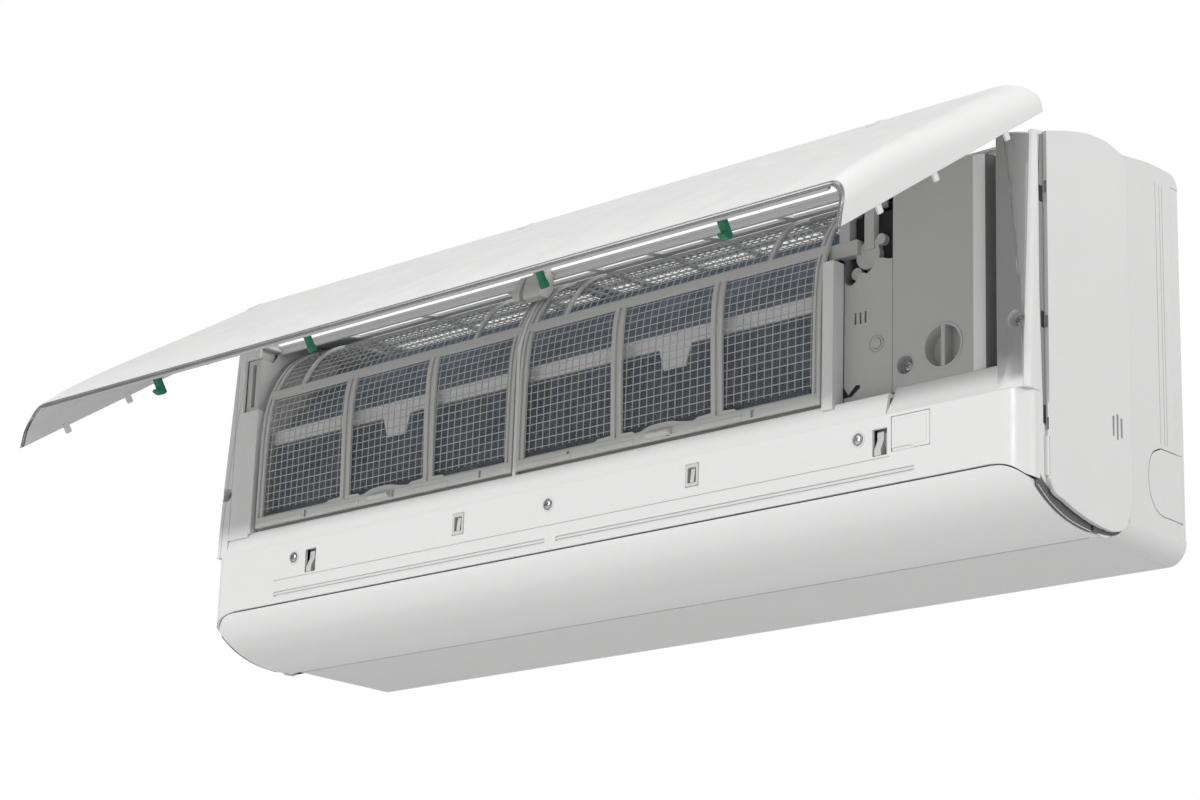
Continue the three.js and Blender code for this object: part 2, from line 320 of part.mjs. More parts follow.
// ---- filters: frame and mesh -------------------------------------------------
const filterLine = [[-198, 106.2], [-198, 150], [-197.6, 185], [-195.4, 211], [-190, 230], [-181, 248], [-169.5, 263], [-154, 274.6], [-136, 281.4], [-115, 284.6], [-90, 285.8], [-62, 285.8]];
function filter(side, [x0, x1], columns, curvedRibs) {
  const full = sheetLine(filterLine, -2.6);
  const edge = (a, b) => alongX(full, a, b);
  const part = (i, j) => sheetLine(filterLine.slice(i, j + 1), -2.6);
  let f = all(edge(x0, x0 + 8), edge(x1 - 8, x1));
  for (const c of columns) f = all(f, alongX(part(0, 4), c - 2.2, c + 2.2));
  for (const c of curvedRibs) f = all(f, alongX(part(3, 11), c - 1.8, c + 1.8));
  const cross = (z0, z1) => alongX(sheetLine([[-198, z0], [-198, z1]], -2.6), x0 + 1, x1 - 1);
  f = all(f, cross(106.2, 115));
  f = all(f, alongX(sheetLine([[-191.8, 224], [-189.3, 231.4]], -2.6), x0 + 1, x1 - 1));
  f = all(f, alongX(sheetLine([[-142, 279.2], [-136, 281.4], [-130, 282.3]], -2.6), x0 + 1, x1 - 1), alongX(sheetLine([[-70, 285.8], [-62, 285.8]], -2.6), x0 + 1, x1 - 1));
  // pull tab on the bottom rail
  f = all(f, alongX([[-198, 108], [-203, 109], [-203, 111], [-198, 115]], (columns[0] + columns[1]) / 2 - 16, (columns[0] + columns[1]) / 2 + 16));
  put(`filter_frame_${side}`, f, SHADE);
  put(`filter_mesh_${side}`, alongX(sheetLine(offsetLine(filterLine, -2.9), -0.5), x0 + 1, x1 - 1), MESH);
}
filter('left', FILTER_L, [-267, -167], [-338, -127]);
filter('right', FILTER_R, [41, 143], [-25, 186]);

// ---- louvre: one long curved vane ---------------------------------------------
{
  const skin = [[-201, 33.6], [-198.6, 29.5], [-194, 23.8], [-186, 16.6], [-176, 10.6], [-162, 4.6], [-146, 0.6], [-128, -1.2], [-108.6, -0.2]];
  const body = alongX([...skin, [-107.6, 2.4], [-127, 1.6], [-145.4, 3.4], [-161, 7.4], [-174.8, 13.4], [-184, 19], [-191.6, 25.8], [-196, 31], [-198.2, 33.6]], -422.4, 422.4);
  const corner = [[430, -10], [430, 40], [388, 40], [394, 34.2], [403.6, 32.9], [412.4, 29.8], [420.2, 24.4], [422.2, 22.6], [422.4, -10]];
  let v = cut(body, alongY(corner, -150, -215), alongY(mirrorX(corner), -150, -215));
  for (const s of [-1, 1]) {
    v = all(v, alongX(ring(LOUVRE_AXIS[0], LOUVRE_AXIS[1], 3.2, 12), Math.min(s * 414, s * 422.4), Math.max(s * 414, s * 422.4)), alongX(ring(LOUVRE_AXIS[0], LOUVRE_AXIS[1], 1.95, 10), Math.min(s * 422, s * 424.8), Math.max(s * 422, s * 424.8)));
  }
  put('louvre', v, WHITE);
}
put('louvre_motor', all(alongX(ring(-90, 22, 13, 18), 398, 416), alongX(ring(-90, 22, 2.5, 8), 415.9, 421), box(402, 404, -110, -88, 14, 30)), STEEL);

// ---- swing blades, their rail, link and motor -----------------------------------
{
  const c = new THREE.Vector3(0, -0.776, 0.632).normalize(), f = new THREE.Vector3(0, -c.z, c.y).normalize();
  const back = f.clone().multiplyScalar(-1);
  const place = new THREE.Matrix4().makeBasis(new THREE.Vector3(1, 0, 0), back, c).setPosition(0, SWING_C[0], SWING_C[1]);
  const local = (g) => solid(g.applyMatrix4(place));
  const cyl = (x, u, r, w0, w1, n) => local(raw(ring(x, u, r, n), w1 - w0).translate(0, 0, w0));
  const slab = (x0, x1, u0, u1, w0, w1) => local(new THREE.BoxGeometry(x1 - x0, u1 - u0, w1 - w0).translate((x0 + x1) / 2, (u0 + u1) / 2, (w0 + w1) / 2));
  SWING_X.forEach((x, i) => {
    put(`swing_blade_${i + 1}`, all(slab(x - 0.9, x + 0.9, -16, 16, -26, 26), cyl(x, 0, 1.9, -31, 30, 8), cyl(x, SWING_ARM, 1.5, 25, 31.5, 8)), SHADE);
  });
  let rail = slab(-372, 236, -5, 5, -32, -28);
  for (const x of SWING_X) rail = cut(rail, cyl(x, 0, 2.2, -34, -26, 10));
  put('swing_rail', rail, GREY);
  let link = slab(-352, 200, SWING_ARM - 4, SWING_ARM + 4, 27.5, 29.5);
  for (const x of SWING_X) link = cut(link, cyl(x, SWING_ARM, 1.8, 25, 33, 10));
  put('swing_link', link, GREY);
  put('swing_motor', all(cyl(222, 0, 12, -14, 4, 16), cyl(222, 0, 2.4, 3.9, 14, 8)), STEEL);
}

// ---- front panel, lifted open ------------------------------------------------------
const panel = new THREE.Group(); // turned about the hinge line
const lift = new THREE.Group();
panel.position.set(0, HINGE[0], HINGE[1]);
panel.rotation.x = (-PANEL_OPEN * Math.PI) / 180;
base.add(panel);
lift.position.set(0, -HINGE[0], -HINGE[1]);
panel.add(lift);
{
  // the lower edge is level along the front and falls towards the rear of the wings
  const edge = [[-172, 6.5], [PANEL_BACK, 11.8], [-190, 21.5], [-197, 30], [-203, 36.4], [-206, 38], [-215, 38.3]];
  const below = (dz) => alongX([...edge.map(([y, z]) => [y, z + dz]), [-215, -20], [-172, -20]], -440, 440);
  let p = cut(shell(0, 2.4), below(3.4));
  p = cut(p, alongX([[PANEL_BACK + 1, PANEL_TOP + 1], [-191, PANEL_TOP + 1], [-186, 294], [-172, 286]].reverse(), -440, 440));
  // inner stiffening rib, hook bosses and hinge arms
  p = all(p, box(-396, 396, PANEL_FRONT - 2, PANEL_FRONT + 3.6, 90, 92));
  for (const s of [-1, 1]) for (const [x, z] of [[HOOK_X[0], 67], [HOOK_X[1], 71.5]]) p = all(p, box(s * x - 7, s * x + 7, PANEL_FRONT, PANEL_FRONT + 2.9, z - 8, z + 8));
  for (const [a, b] of [[-399, -393], [-64, -60], [290, 296]]) p = all(p, alongX([[PANEL_FRONT + 0.1, 278], [PANEL_FRONT + 0.1, 294], [-184, 298], ...arc(HINGE[0], HINGE[1], 4.4, 120, -60, 6), [-186, 288]].reverse(), a, b, [ring(HINGE[0], HINGE[1], 2.25, 12)]));
  // tabs that enter the slots of the frame
  for (const s of [-1, 1]) for (const z of [238, 138, 64]) p = all(p, box(Math.min(s * 425.7, s * 427.3), Math.max(s * 425.7, s * 427.3), PANEL_BACK - 2.5, -173.5, z - 3, z + 3));
  put('front_panel', p, WHITE, lift);
  put('panel_trim', cut(shell(0.1, 2.3), below(0)).intersect(below(3.05)), CHROME, lift);
  const hook = (x, z, reach) => all(box(x - 5, x + 5, PANEL_FRONT + 3.2, PANEL_FRONT + 8, z - 6, z + 6), box(x - 3, x + 3, PANEL_FRONT + 7.9, reach, z - 3, z + 2), alongX([[reach - 5, z - 7], [reach, z - 3], [reach, z + 2], [reach - 5, z + 2]].reverse(), x - 3, x + 3));
  put('panel_hook_outer_left', hook(-HOOK_X[0], 67, -184), GREEN, lift);
  put('panel_hook_outer_right', hook(HOOK_X[0], 67, -184), GREEN, lift);
  const peg = (x) => all(box(x - 5, x + 5, PANEL_FRONT + 3.2, PANEL_FRONT + 4.1, 66, 77), alongY(ring(x, 71.5, 3.1, 12), -186, PANEL_FRONT + 3.6), alongY(ring(x, 71.5, 3.6, 12), -184, -189));
  put('panel_hook_inner_left', peg(-HOOK_X[1]), GREEN, lift);
  put('panel_hook_inner_right', peg(HOOK_X[1]), GREEN, lift);
}

export default group;
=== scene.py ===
import bpy, bmesh, math
from mathutils import Vector, Matrix


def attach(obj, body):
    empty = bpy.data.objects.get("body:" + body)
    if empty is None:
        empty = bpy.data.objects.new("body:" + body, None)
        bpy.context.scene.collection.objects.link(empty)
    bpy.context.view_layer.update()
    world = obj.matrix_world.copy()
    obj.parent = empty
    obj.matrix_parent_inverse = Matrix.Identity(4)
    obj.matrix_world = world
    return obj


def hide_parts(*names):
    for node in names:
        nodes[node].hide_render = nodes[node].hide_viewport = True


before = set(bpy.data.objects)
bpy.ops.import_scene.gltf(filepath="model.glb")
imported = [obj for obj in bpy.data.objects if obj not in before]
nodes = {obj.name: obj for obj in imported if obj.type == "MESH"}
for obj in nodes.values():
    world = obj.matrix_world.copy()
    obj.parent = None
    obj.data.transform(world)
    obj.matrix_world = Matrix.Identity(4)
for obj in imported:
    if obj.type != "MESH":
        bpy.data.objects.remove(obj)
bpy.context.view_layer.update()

# ------------------------------------------------------------------ camera
# The photograph looks up at the unit from the right, from about 2.3 m.
def set_camera():
    az, el, roll = math.radians(43.09), math.radians(-16.96), math.radians(1.94)
    fwd = Vector((-math.sin(az) * math.cos(el), math.cos(az) * math.cos(el), -math.sin(el)))
    right = Vector((math.cos(az), math.sin(az), 0.0))
    up = right.cross(fwd)
    r2 = right * math.cos(roll) + up * math.sin(roll)
    u2 = -right * math.sin(roll) + up * math.cos(roll)
    cam = bpy.data.cameras.new("camera")
    cam.lens, cam.sensor_width, cam.sensor_fit = 88.95, 36.0, "HORIZONTAL"
    cam.clip_start, cam.clip_end = 0.05, 60
    ob = bpy.data.objects.new("camera", cam)
    m = Matrix((r2, u2, -fwd)).transposed().to_4x4()
    m.translation = (1.53246, -1.81003, -0.67401)
    ob.matrix_world = m
    bpy.context.scene.collection.objects.link(ob)
    bpy.context.scene.camera = ob

set_camera()

# ------------------------------------------------------------------ materials
def new_mat(name):
    m = bpy.data.materials.new(name)
    m.use_nodes = True
    nt = m.node_tree
    nt.nodes.clear()
    out = nt.nodes.new("ShaderNodeOutputMaterial")
    b = nt.nodes.new("ShaderNodeBsdfPrincipled")
    nt.links.new(b.outputs[0], out.inputs[0])
    return m, nt, b, out

def node(nt, kind, **kw):
    n = nt.nodes.new(kind)
    for k, v in kw.items():
        if k.startswith("_"):
            setattr(n, k[1:], v)
        else:
            n.inputs[k.replace("_", " ")].default_value = v
    return n

def noise(nt, co, scale, detail=2.0, rough=0.5):
    n = node(nt, "ShaderNodeTexNoise", Scale=scale, Detail=detail, Roughness=rough)
    nt.links.new(co, n.inputs["Vector"])
    return n.outputs["Fac"]

def ramp(nt, fac, stops):
    r = nt.nodes.new("ShaderNodeValToRGB")
    els = r.color_ramp.elements
    while len(els) < len(stops):
        els.new(0.5)
    for e, (p, c) in zip(els, stops):
        e.position, e.color = p, (*c, 1.0)
    nt.links.new(fac, r.inputs["Fac"])
    return r.outputs["Color"]

def rng(nt, fac, a, b, c, d):
    r = node(nt, "ShaderNodeMapRange")
    for k, v in zip(("From Min", "From Max", "To Min", "To Max"), (a, b, c, d)):
        r.inputs[k].default_value = v
    nt.links.new(fac, r.inputs["Value"])
    return r.outputs["Result"]

def math_(nt, op, a, b=None, clamp=False):
    n = nt.nodes.new("ShaderNodeMath")
    n.operation, n.use_clamp = op, clamp
    for i, v in enumerate((a, b)):
        if v is None:
            continue
        if isinstance(v, (int, float)):
            n.inputs[i].default_value = v
        else:
            nt.links.new(v, n.inputs[i])
    return n.outputs[0]

def objco(nt):
    return nt.nodes.new("ShaderNodeTexCoord").outputs["Object"]

def shade(c, k):
    return tuple(min(1.0, v * k) for v in c)

def plastic(name, color, rough=0.42, var=0.03, grain=0.25, grain_scale=1300.0, edge=0.0005, metal=0.0, spec=0.5, coat=0.0, dust=0.0, lines=None):
    """Moulded material: soft tone change over decimetres, a fine moulded grain, uneven gloss and softened edges."""
    m, nt, b, out = new_mat(name)
    co = objco(nt)
    big = noise(nt, co, 5.0, 3.0)
    fine = noise(nt, co, 160.0, 4.0, 0.6)
    mixed = math_(nt, "ADD", math_(nt, "MULTIPLY", big, 0.7), math_(nt, "MULTIPLY", fine, 0.3))
    col = ramp(nt, mixed, [(0.3, shade(color, 1 - var)), (0.5, color), (0.72, shade(color, 1 + var * 0.7))])
    nt.links.new(col, b.inputs["Base Color"])
    nt.links.new(rng(nt, noise(nt, co, 38.0, 3.0), 0.3, 0.7, max(0.02, rough - 0.05), rough + 0.06), b.inputs["Roughness"])
    b.inputs["Metallic"].default_value = metal
    b.inputs["Specular IOR Level"].default_value = spec
    if coat:
        b.inputs["Coat Weight"].default_value = coat
        b.inputs["Coat Roughness"].default_value = 0.12
    bev = node(nt, "ShaderNodeBevel", _samples=4)
    bev.inputs["Radius"].default_value = edge
    h = noise(nt, co, grain_scale, 2.0)
    if lines:
        axis, pitch, amount = lines
        sep = nt.nodes.new("ShaderNodeSeparateXYZ")
        nt.links.new(co, sep.inputs[0])
        w = math_(nt, "SINE", math_(nt, "MULTIPLY", sep.outputs[axis], 2 * math.pi / pitch))
        h = math_(nt, "ADD", h, math_(nt, "MULTIPLY", w, amount))
    bump = node(nt, "ShaderNodeBump", Strength=grain, Distance=0.00006)
    nt.links.new(h, bump.inputs["Height"])
    nt.links.new(bev.outputs[0], bump.inputs["Normal"])
    nt.links.new(bump.outputs[0], b.inputs["Normal"])
    return m

# Painted shade: scales the base colour with height, from k0 at z0 to k1 at z1, to paint a cast shadow onto a surface.
def paint_shade_by_height(m, z0, z1, k0, k1):
    nt = m.node_tree
    b = [n for n in nt.nodes if n.type == "BSDF_PRINCIPLED"][0]
    src = b.inputs["Base Color"].links[0].from_socket
    co = nt.nodes.new("ShaderNodeTexCoord")
    sp = nt.nodes.new("ShaderNodeSeparateXYZ")
    nt.links.new(co.outputs["Object"], sp.inputs[0])
    mr = nt.nodes.new("ShaderNodeMapRange")
    for i, v in enumerate((z0, z1, k0, k1)):
        mr.inputs[i + 1].default_value = v
    nt.links.new(sp.outputs[2], mr.inputs[0])
    mx = nt.nodes.new("ShaderNodeVectorMath")
    mx.operation = "SCALE"
    nt.links.new(src, mx.inputs[0])
    nt.links.new(mr.outputs[0], mx.inputs["Scale"])
    nt.links.new(mx.outputs[0], b.inputs["Base Color"])
    return m

def metal(name, color, rough=0.3, brush="X", scale=500.0, strength=0.2, edge=0.0004):
    m, nt, b, out = new_mat(name)
    co = objco(nt)
    mp = node(nt, "ShaderNodeMapping")
    nt.links.new(co, mp.inputs["Vector"])
    mp.inputs["Scale"].default_value = (0.04 if brush == "X" else 1, 0.04 if brush == "Y" else 1, 0.04 if brush == "Z" else 1)
    n = noise(nt, mp.outputs[0], scale, 3.0)
    spots = noise(nt, co, 45.0, 4.0)
    mixed = math_(nt, "ADD", math_(nt, "MULTIPLY", n, 0.5), math_(nt, "MULTIPLY", spots, 0.5))
    nt.links.new(ramp(nt, mixed, [(0.3, shade(color, 0.82)), (0.55, color), (0.75, shade(color, 1.1))]), b.inputs["Base Color"])
    nt.links.new(rng(nt, mixed, 0.3, 0.7, rough * 0.8, rough * 1.3), b.inputs["Roughness"])
    b.inputs["Metallic"].default_value = 1.0
    bev = node(nt, "ShaderNodeBevel", _samples=4)
    bev.inputs["Radius"].default_value = edge
    bump = node(nt, "ShaderNodeBump", Strength=strength, Distance=0.00005)
    nt.links.new(n, bump.inputs["Height"])
    nt.links.new(bev.outputs[0], bump.inputs["Normal"])
    nt.links.new(bump.outputs[0], b.inputs["Normal"])
    return m

def galvanised(name):
    m, nt, b, out = new_mat(name)
    co = objco(nt)
    v = node(nt, "ShaderNodeTexVoronoi", Scale=95.0)
    nt.links.new(co, v.inputs["Vector"])
    sp = nt.nodes.new("ShaderNodeSeparateColor")
    nt.links.new(v.outputs["Color"], sp.inputs[0])
    nt.links.new(ramp(nt, sp.outputs[0], [(0.0, (0.36, 0.375, 0.39)), (0.5, (0.48, 0.49, 0.5)), (1.0, (0.6, 0.61, 0.62))]), b.inputs["Base Color"])
    nt.links.new(rng(nt, sp.outputs[1], 0, 1, 0.3, 0.48), b.inputs["Roughness"])
    b.inputs["Metallic"].default_value = 1.0
    bump = node(nt, "ShaderNodeBump", Strength=0.15, Distance=0.00008)
    nt.links.new(noise(nt, co, 260.0, 3.0), bump.inputs["Height"])
    nt.links.new(bump.outputs[0], b.inputs["Normal"])
    return m

def fins(name, color, pitch=0.0016):
    """Coated aluminium fins: narrow lines along x, with painted light on the fins and painted shade in the gaps between
    them, and a faint mottle.
    """
    m, nt, b, out = new_mat(name)
    co = objco(nt)
    sep = nt.nodes.new("ShaderNodeSeparateXYZ")
    nt.links.new(co, sep.inputs[0])
    wob = math_(nt, "MULTIPLY", noise(nt, co, 22.0, 2.0), 0.0006)
    w = math_(nt, "SINE", math_(nt, "MULTIPLY", math_(nt, "ADD", sep.outputs[0], wob), 2 * math.pi / pitch))
    mott = noise(nt, co, 60.0, 4.0)
    f = math_(nt, "ADD", math_(nt, "MULTIPLY", rng(nt, w, -1, 1, 0, 1), 0.6), math_(nt, "MULTIPLY", mott, 0.4))
    # painted light and shade: fin faces up to 1.7 times the colour, gaps between fins down to 0.4 times
    nt.links.new(ramp(nt, f, [(0.15, shade(color, 0.4)), (0.55, color), (0.9, shade(color, 1.7))]), b.inputs["Base Color"])
    nt.links.new(rng(nt, mott, 0.3, 0.7, 0.35, 0.55), b.inputs["Roughness"])
    b.inputs["Metallic"].default_value = 0.45
    bump = node(nt, "ShaderNodeBump", Strength=0.6, Distance=0.0004)
    nt.links.new(w, bump.inputs["Height"])
    nt.links.new(bump.outputs[0], b.inputs["Normal"])
    return m

def board(name):
    m, nt, b, out = new_mat(name)
    co = objco(nt)
    v = node(nt, "ShaderNodeTexBrick", Scale=90.0)
    v.inputs["Color1"].default_value = (0.012, 0.12, 0.045, 1)
    v.inputs["Color2"].default_value = (0.016, 0.15, 0.06, 1)
    v.inputs["Mortar"].default_value = (0.05, 0.23, 0.09, 1)
    v.inputs["Mortar Size"].default_value = 0.03
    mp = node(nt, "ShaderNodeMapping")
    mp.inputs["Rotation"].default_value = (math.pi / 2, 0, 0)
    nt.links.new(co, mp.inputs["Vector"])
    nt.links.new(mp.outputs[0], v.inputs["Vector"])
    nt.links.new(v.outputs["Color"], b.inputs["Base Color"])
    nt.links.new(rng(nt, noise(nt, co, 80.0), 0.3, 0.7, 0.25, 0.4), b.inputs["Roughness"])
    bump = node(nt, "ShaderNodeBump", Strength=0.3, Distance=0.0001)
    nt.links.new(v.outputs["Fac"], bump.inputs["Height"])
    nt.links.new(bump.outputs[0], b.inputs["Normal"])
    return m

def netting(name):
    """Woven filter net: fine threads with open holes between them, tone uneven from the weave."""
    m, nt, b, out = new_mat(name)
    uv = nt.nodes.new("ShaderNodeUVMap")
    uv.uv_map = "weave"
    sep = nt.nodes.new("ShaderNodeSeparateXYZ")
    nt.links.new(uv.outputs[0], sep.inputs[0])
    def threads(c, pitch, width):
        t = math_(nt, "ABSOLUTE", math_(nt, "SUBTRACT", math_(nt, "FRACT", math_(nt, "DIVIDE", c, pitch)), 0.5))
        return math_(nt, "LESS_THAN", t, width / 2)
    tx = threads(sep.outputs[0], 1.2, 0.08)
    ty = threads(sep.outputs[1], 1.2, 0.08)
    cover = math_(nt, "MAXIMUM", tx, ty)
    co = objco(nt)
    col = ramp(nt, noise(nt, co, 70.0, 3.0), [(0.3, (0.42, 0.42, 0.42)), (0.7, (0.62, 0.62, 0.61))])
    nt.links.new(col, b.inputs["Base Color"])
    nt.links.new(rng(nt, noise(nt, co, 30.0), 0.3, 0.7, 0.55, 0.75), b.inputs["Roughness"])
    tr = nt.nodes.new("ShaderNodeBsdfTransparent")
    mix = nt.nodes.new("ShaderNodeMixShader")
    nt.links.new(cover, mix.inputs[0])
    nt.links.new(tr.outputs[0], mix.inputs[1])
    nt.links.new(b.outputs[0], mix.inputs[2])
    nt.links.new(mix.outputs[0], out.inputs[0])
    return m

M = {
    "panel": plastic("panel_white", (0.80, 0.80, 0.795), rough=0.36, var=0.012, grain=0.1, grain_scale=1700.0, edge=0.0008),
    "white": plastic("white_plastic", (0.77, 0.77, 0.765), rough=0.42, var=0.015, grain=0.16, edge=0.0006),
    "chassis": plastic("chassis_white", (0.74, 0.74, 0.735), rough=0.5, var=0.02, grain=0.3, grain_scale=1000.0, edge=0.0006),
    "louvre": plastic("louvre_white", (0.83, 0.83, 0.825), rough=0.38, var=0.012, grain=0.1, grain_scale=1700.0, edge=0.0006),
    "inner": plastic("white_inner", (0.60, 0.60, 0.59), rough=0.48, var=0.04, grain=0.25, edge=0.0004),
    "grey": plastic("grey_plastic", (0.52, 0.52, 0.515), rough=0.5, var=0.035, grain=0.3, edge=0.0005),
    "guide": plastic("guide_grey", (0.40, 0.40, 0.395), rough=0.55, var=0.05, grain=0.3),
    "dark": plastic("dark_plastic", (0.035, 0.037, 0.04), rough=0.5, var=0.1, grain=0.3),
    "black": plastic("rubber_black", (0.018, 0.018, 0.019), rough=0.7, var=0.15, grain=0.5),
    # painted shade: near-black for the dark inside of slots and gaps
    "slot": plastic("slot_painted_shade", (0.02, 0.02, 0.021), rough=0.8, var=0.15, grain=0.3),
    "green": plastic("green_plastic", (0.006, 0.205, 0.105), rough=0.36, var=0.08, grain=0.2, edge=0.0005),
    "net": plastic("net_thread", (0.55, 0.55, 0.545), rough=0.55, var=0.08, grain=0.2, edge=0.0001),
    "joint": plastic("joint_strip", (0.9, 0.9, 0.895), rough=0.5, var=0.03, grain=0.2),
    "lip": plastic("panel_lip", (0.36, 0.36, 0.357), rough=0.4, var=0.03, grain=0.15),
    # painted highlight: lighter than the cover's grey, for the rounded edge of the e-box cover where it catches the
    # light
    "lighter": plastic("cover_edge_painted_light", (0.86, 0.86, 0.855), rough=0.4, var=0.03, grain=0.2),
    # painted shadow of the open panel on the right column's face: near full colour below about 87 mm, under half above
    # 97 mm
    "column": paint_shade_by_height(plastic("column_face_painted_shade", (0.80, 0.80, 0.795), rough=0.45, var=0.02, grain=0.2), -0.0635, -0.053, 0.94, 0.43),
    # painted shade: near-black for the cover's far curve turning into the gap
    "shade": plastic("cover_side_painted_shade", (0.15, 0.15, 0.148), rough=0.6, var=0.05, grain=0.2),
    # painted shade: glossy near-black for sheets in the shaded gaps at the louvre ends and under the cheeks
    "band": plastic("end_gap_painted_shade", (0.11, 0.11, 0.112), rough=0.25, var=0.06, grain=0.1),
    # painted shade: grey for the recess band beside each cheek, which lies in shade
    "recess": plastic("recess_painted_shade", (0.27, 0.27, 0.268), rough=0.5, var=0.05, grain=0.2),
    "weave": netting("filter_net"),
    "steel": metal("screw_steel", (0.5, 0.5, 0.5), rough=0.28),
    "motor": metal("motor_steel", (0.52, 0.53, 0.54), rough=0.38, brush="X"),
    "galv": galvanised("galvanised_steel"),
    "copper": metal("copper", (0.72, 0.33, 0.17), rough=0.26),
    "brass": metal("brass", (0.72, 0.50, 0.2), rough=0.26),
    "chrome": metal("trim_chrome", (0.5, 0.505, 0.51), rough=0.22, strength=0.05, edge=0.0003),
    "coil": fins("coil_fins", (0.06, 0.088, 0.135)),
    # painted light: a lighter copy of the fin colour, standing in for light falling on the coil's upper faces
    "coil_painted_light": fins("coil_fins_painted_light", (0.12, 0.18, 0.26)),
    "board": board("circuit_green"),
}

def paint(name, key, slot=None):
    o = nodes[name]
    o.data.materials.clear()
    o.data.materials.append(M[key])

for n_, k_ in {
    "mounting_plate": "galv", "rear_chassis": "chassis", "pipe_cover": "chassis", "rear_air_guide": "guide",
    "left_end_wall": "guide", "right_end_wall": "guide", "front_frame": "white", "signal_window": "white",
    "catch_insert_left": "white", "catch_insert_right": "white", "strip_screw_left": "steel", "strip_screw_centre": "steel",
    "strip_screw_right": "steel", "frame_screw_right": "steel", "frame_screw_left": "steel", "evaporator_lower": "coil",
    # the upper and rear coil take the lighter copy of the fin colour, painted light
    "evaporator_upper": "coil_painted_light", "evaporator_rear": "coil_painted_light", "evaporator_joint_strip": "joint", "suction_pipe": "copper",
    "liquid_pipe": "copper", "flare_nut_large": "brass", "flare_nut_small": "brass", "drain_pan": "inner", "drain_port": "black",
    "fan_rotor": "dark", "motor_shaft": "motor", "fan_bearing": "black", "fan_motor": "motor", "motor_clamp": "guide",
    "electrical_box": "grey", "electrical_cover": "grey", "cover_screw": "steel", "circuit_board": "board",
    "terminal_block": "black", "emergency_button": "grey", "hinge_bracket_right": "grey", "hinge_bracket_centre": "grey",
    "hinge_bracket_left": "inner", "filter_frame_left": "inner", "filter_frame_right": "inner", "filter_mesh_left": "net",
    "filter_mesh_right": "net", "louvre": "louvre", "louvre_motor": "motor", "swing_rail": "guide", "swing_link": "guide",
    "swing_motor": "motor", "front_panel": "panel", "panel_trim": "chrome", "panel_hook_outer_left": "green",
    "panel_hook_outer_right": "green", "panel_hook_inner_left": "green", "panel_hook_inner_right": "green",
}.items():
    paint(n_, k_)
for i_ in range(1, 7):
    paint(f"swing_blade_{i_}", "inner")

# ------------------------------------------------------------------ shape helpers (millimetres, z above the unit's underside)
WORK = bpy.data.collections.new("work")
bpy.context.scene.collection.children.link(WORK)

def raw(verts, faces):
    bm = bmesh.new()
    vs = [bm.verts.new(v) for v in verts]
    for f in faces:
        bm.faces.new([vs[i] for i in f])
    bmesh.ops.recalc_face_normals(bm, faces=bm.faces[:])
    me = bpy.data.meshes.new("w")
    bm.to_mesh(me)
    bm.free()
    o = bpy.data.objects.new("w", me)
    WORK.objects.link(o)
    return o

def prism(pts, a, b, f):
    n = len(pts)
    v = [f(p, a) for p in pts] + [f(p, b) for p in pts]
    return raw(v, [list(range(n)), [n + i for i in range(n)]] + [[i, (i + 1) % n, n + (i + 1) % n, n + i] for i in range(n)])

def X(pts, a, b):
    return prism(pts, a, b, lambda p, t: (t, p[0], p[1]))

def Y(pts, a, b):
    return prism(pts, a, b, lambda p, t: (p[0], t, p[1]))

def Z(pts, a, b):
    return prism(pts, a, b, lambda p, t: (p[0], p[1], t))

def B(x0, x1, y0, y1, z0, z1):
    return X([(y0, z0), (y1, z0), (y1, z1), (y0, z1)], x0, x1)

def arc(cx, cy, r, d0, d1, n):
    return [(cx + r * math.cos(math.radians(d0 + (d1 - d0) * i / n)), cy + r * math.sin(math.radians(d0 + (d1 - d0) * i / n))) for i in range(n + 1)]

def ring(cx, cy, r, n=32, a0=0.0):
    return [(cx + r * math.cos(a0 + i / n * 2 * math.pi), cy + r * math.sin(a0 + i / n * 2 * math.pi)) for i in range(n)]

def rrect(x0, x1, z0, z1, r, n=5):
    return arc(x1 - r, z1 - r, r, 0, 90, n) + arc(x0 + r, z1 - r, r, 90, 180, n) + arc(x0 + r, z0 + r, r, 180, 270, n) + arc(x1 - r, z0 + r, r, 270, 360, n)

def smooth(pts, n=4):
    """Catmull-Rom through the points of an open line."""
    out = []
    for i in range(len(pts) - 1):
        p0, p1, p2, p3 = pts[max(i - 1, 0)], pts[i], pts[i + 1], pts[min(i + 2, len(pts) - 1)]
        for k in range(n):
            t = k / n
            out.append(tuple(0.5 * ((2 * p1[c]) + (-p0[c] + p2[c]) * t + (2 * p0[c] - 5 * p1[c] + 4 * p2[c] - p3[c]) * t * t + (-p0[c] + 3 * p1[c] - 3 * p2[c] + p3[c]) * t ** 3) for c in range(len(p1))))
    return out + [tuple(pts[-1])]

def offset(pts, t):
    out = []
    for i, p in enumerate(pts):
        a, b = pts[max(i - 1, 0)], pts[min(i + 1, len(pts) - 1)]
        dx, dy = b[0] - a[0], b[1] - a[1]
        l = math.hypot(dx, dy)
        out.append((p[0] - dy / l * t, p[1] + dx / l * t))
    return out

def strip_of(pts, t0, t1):
    return offset(pts, t0) + offset(pts, t1)[::-1]

def solve(base, *ops):
    """Booleans on closed solids: ("+", solid) joins and ("-", solid) cuts."""
    tools = []
    for op, t in ops:
        for s in (t if isinstance(t, (list, tuple)) else [t]):
            m = base.modifiers.new("b", "BOOLEAN")
            m.operation = "UNION" if op == "+" else "DIFFERENCE"
            m.object, m.solver = s, "MANIFOLD"
            tools.append(s)
    bpy.context.view_layer.update()
    dg = bpy.context.evaluated_depsgraph_get()
    me = bpy.data.meshes.new_from_object(base.evaluated_get(dg))
    for o in [base, *tools]:
        bpy.data.objects.remove(o)
    o = bpy.data.objects.new("w", me)
    WORK.objects.link(o)
    return o

def cut(a, *tools):
    flat = []
    for t in tools:
        flat += t if isinstance(t, (list, tuple)) else [t]
    return solve(a, *[("-", t) for t in flat])

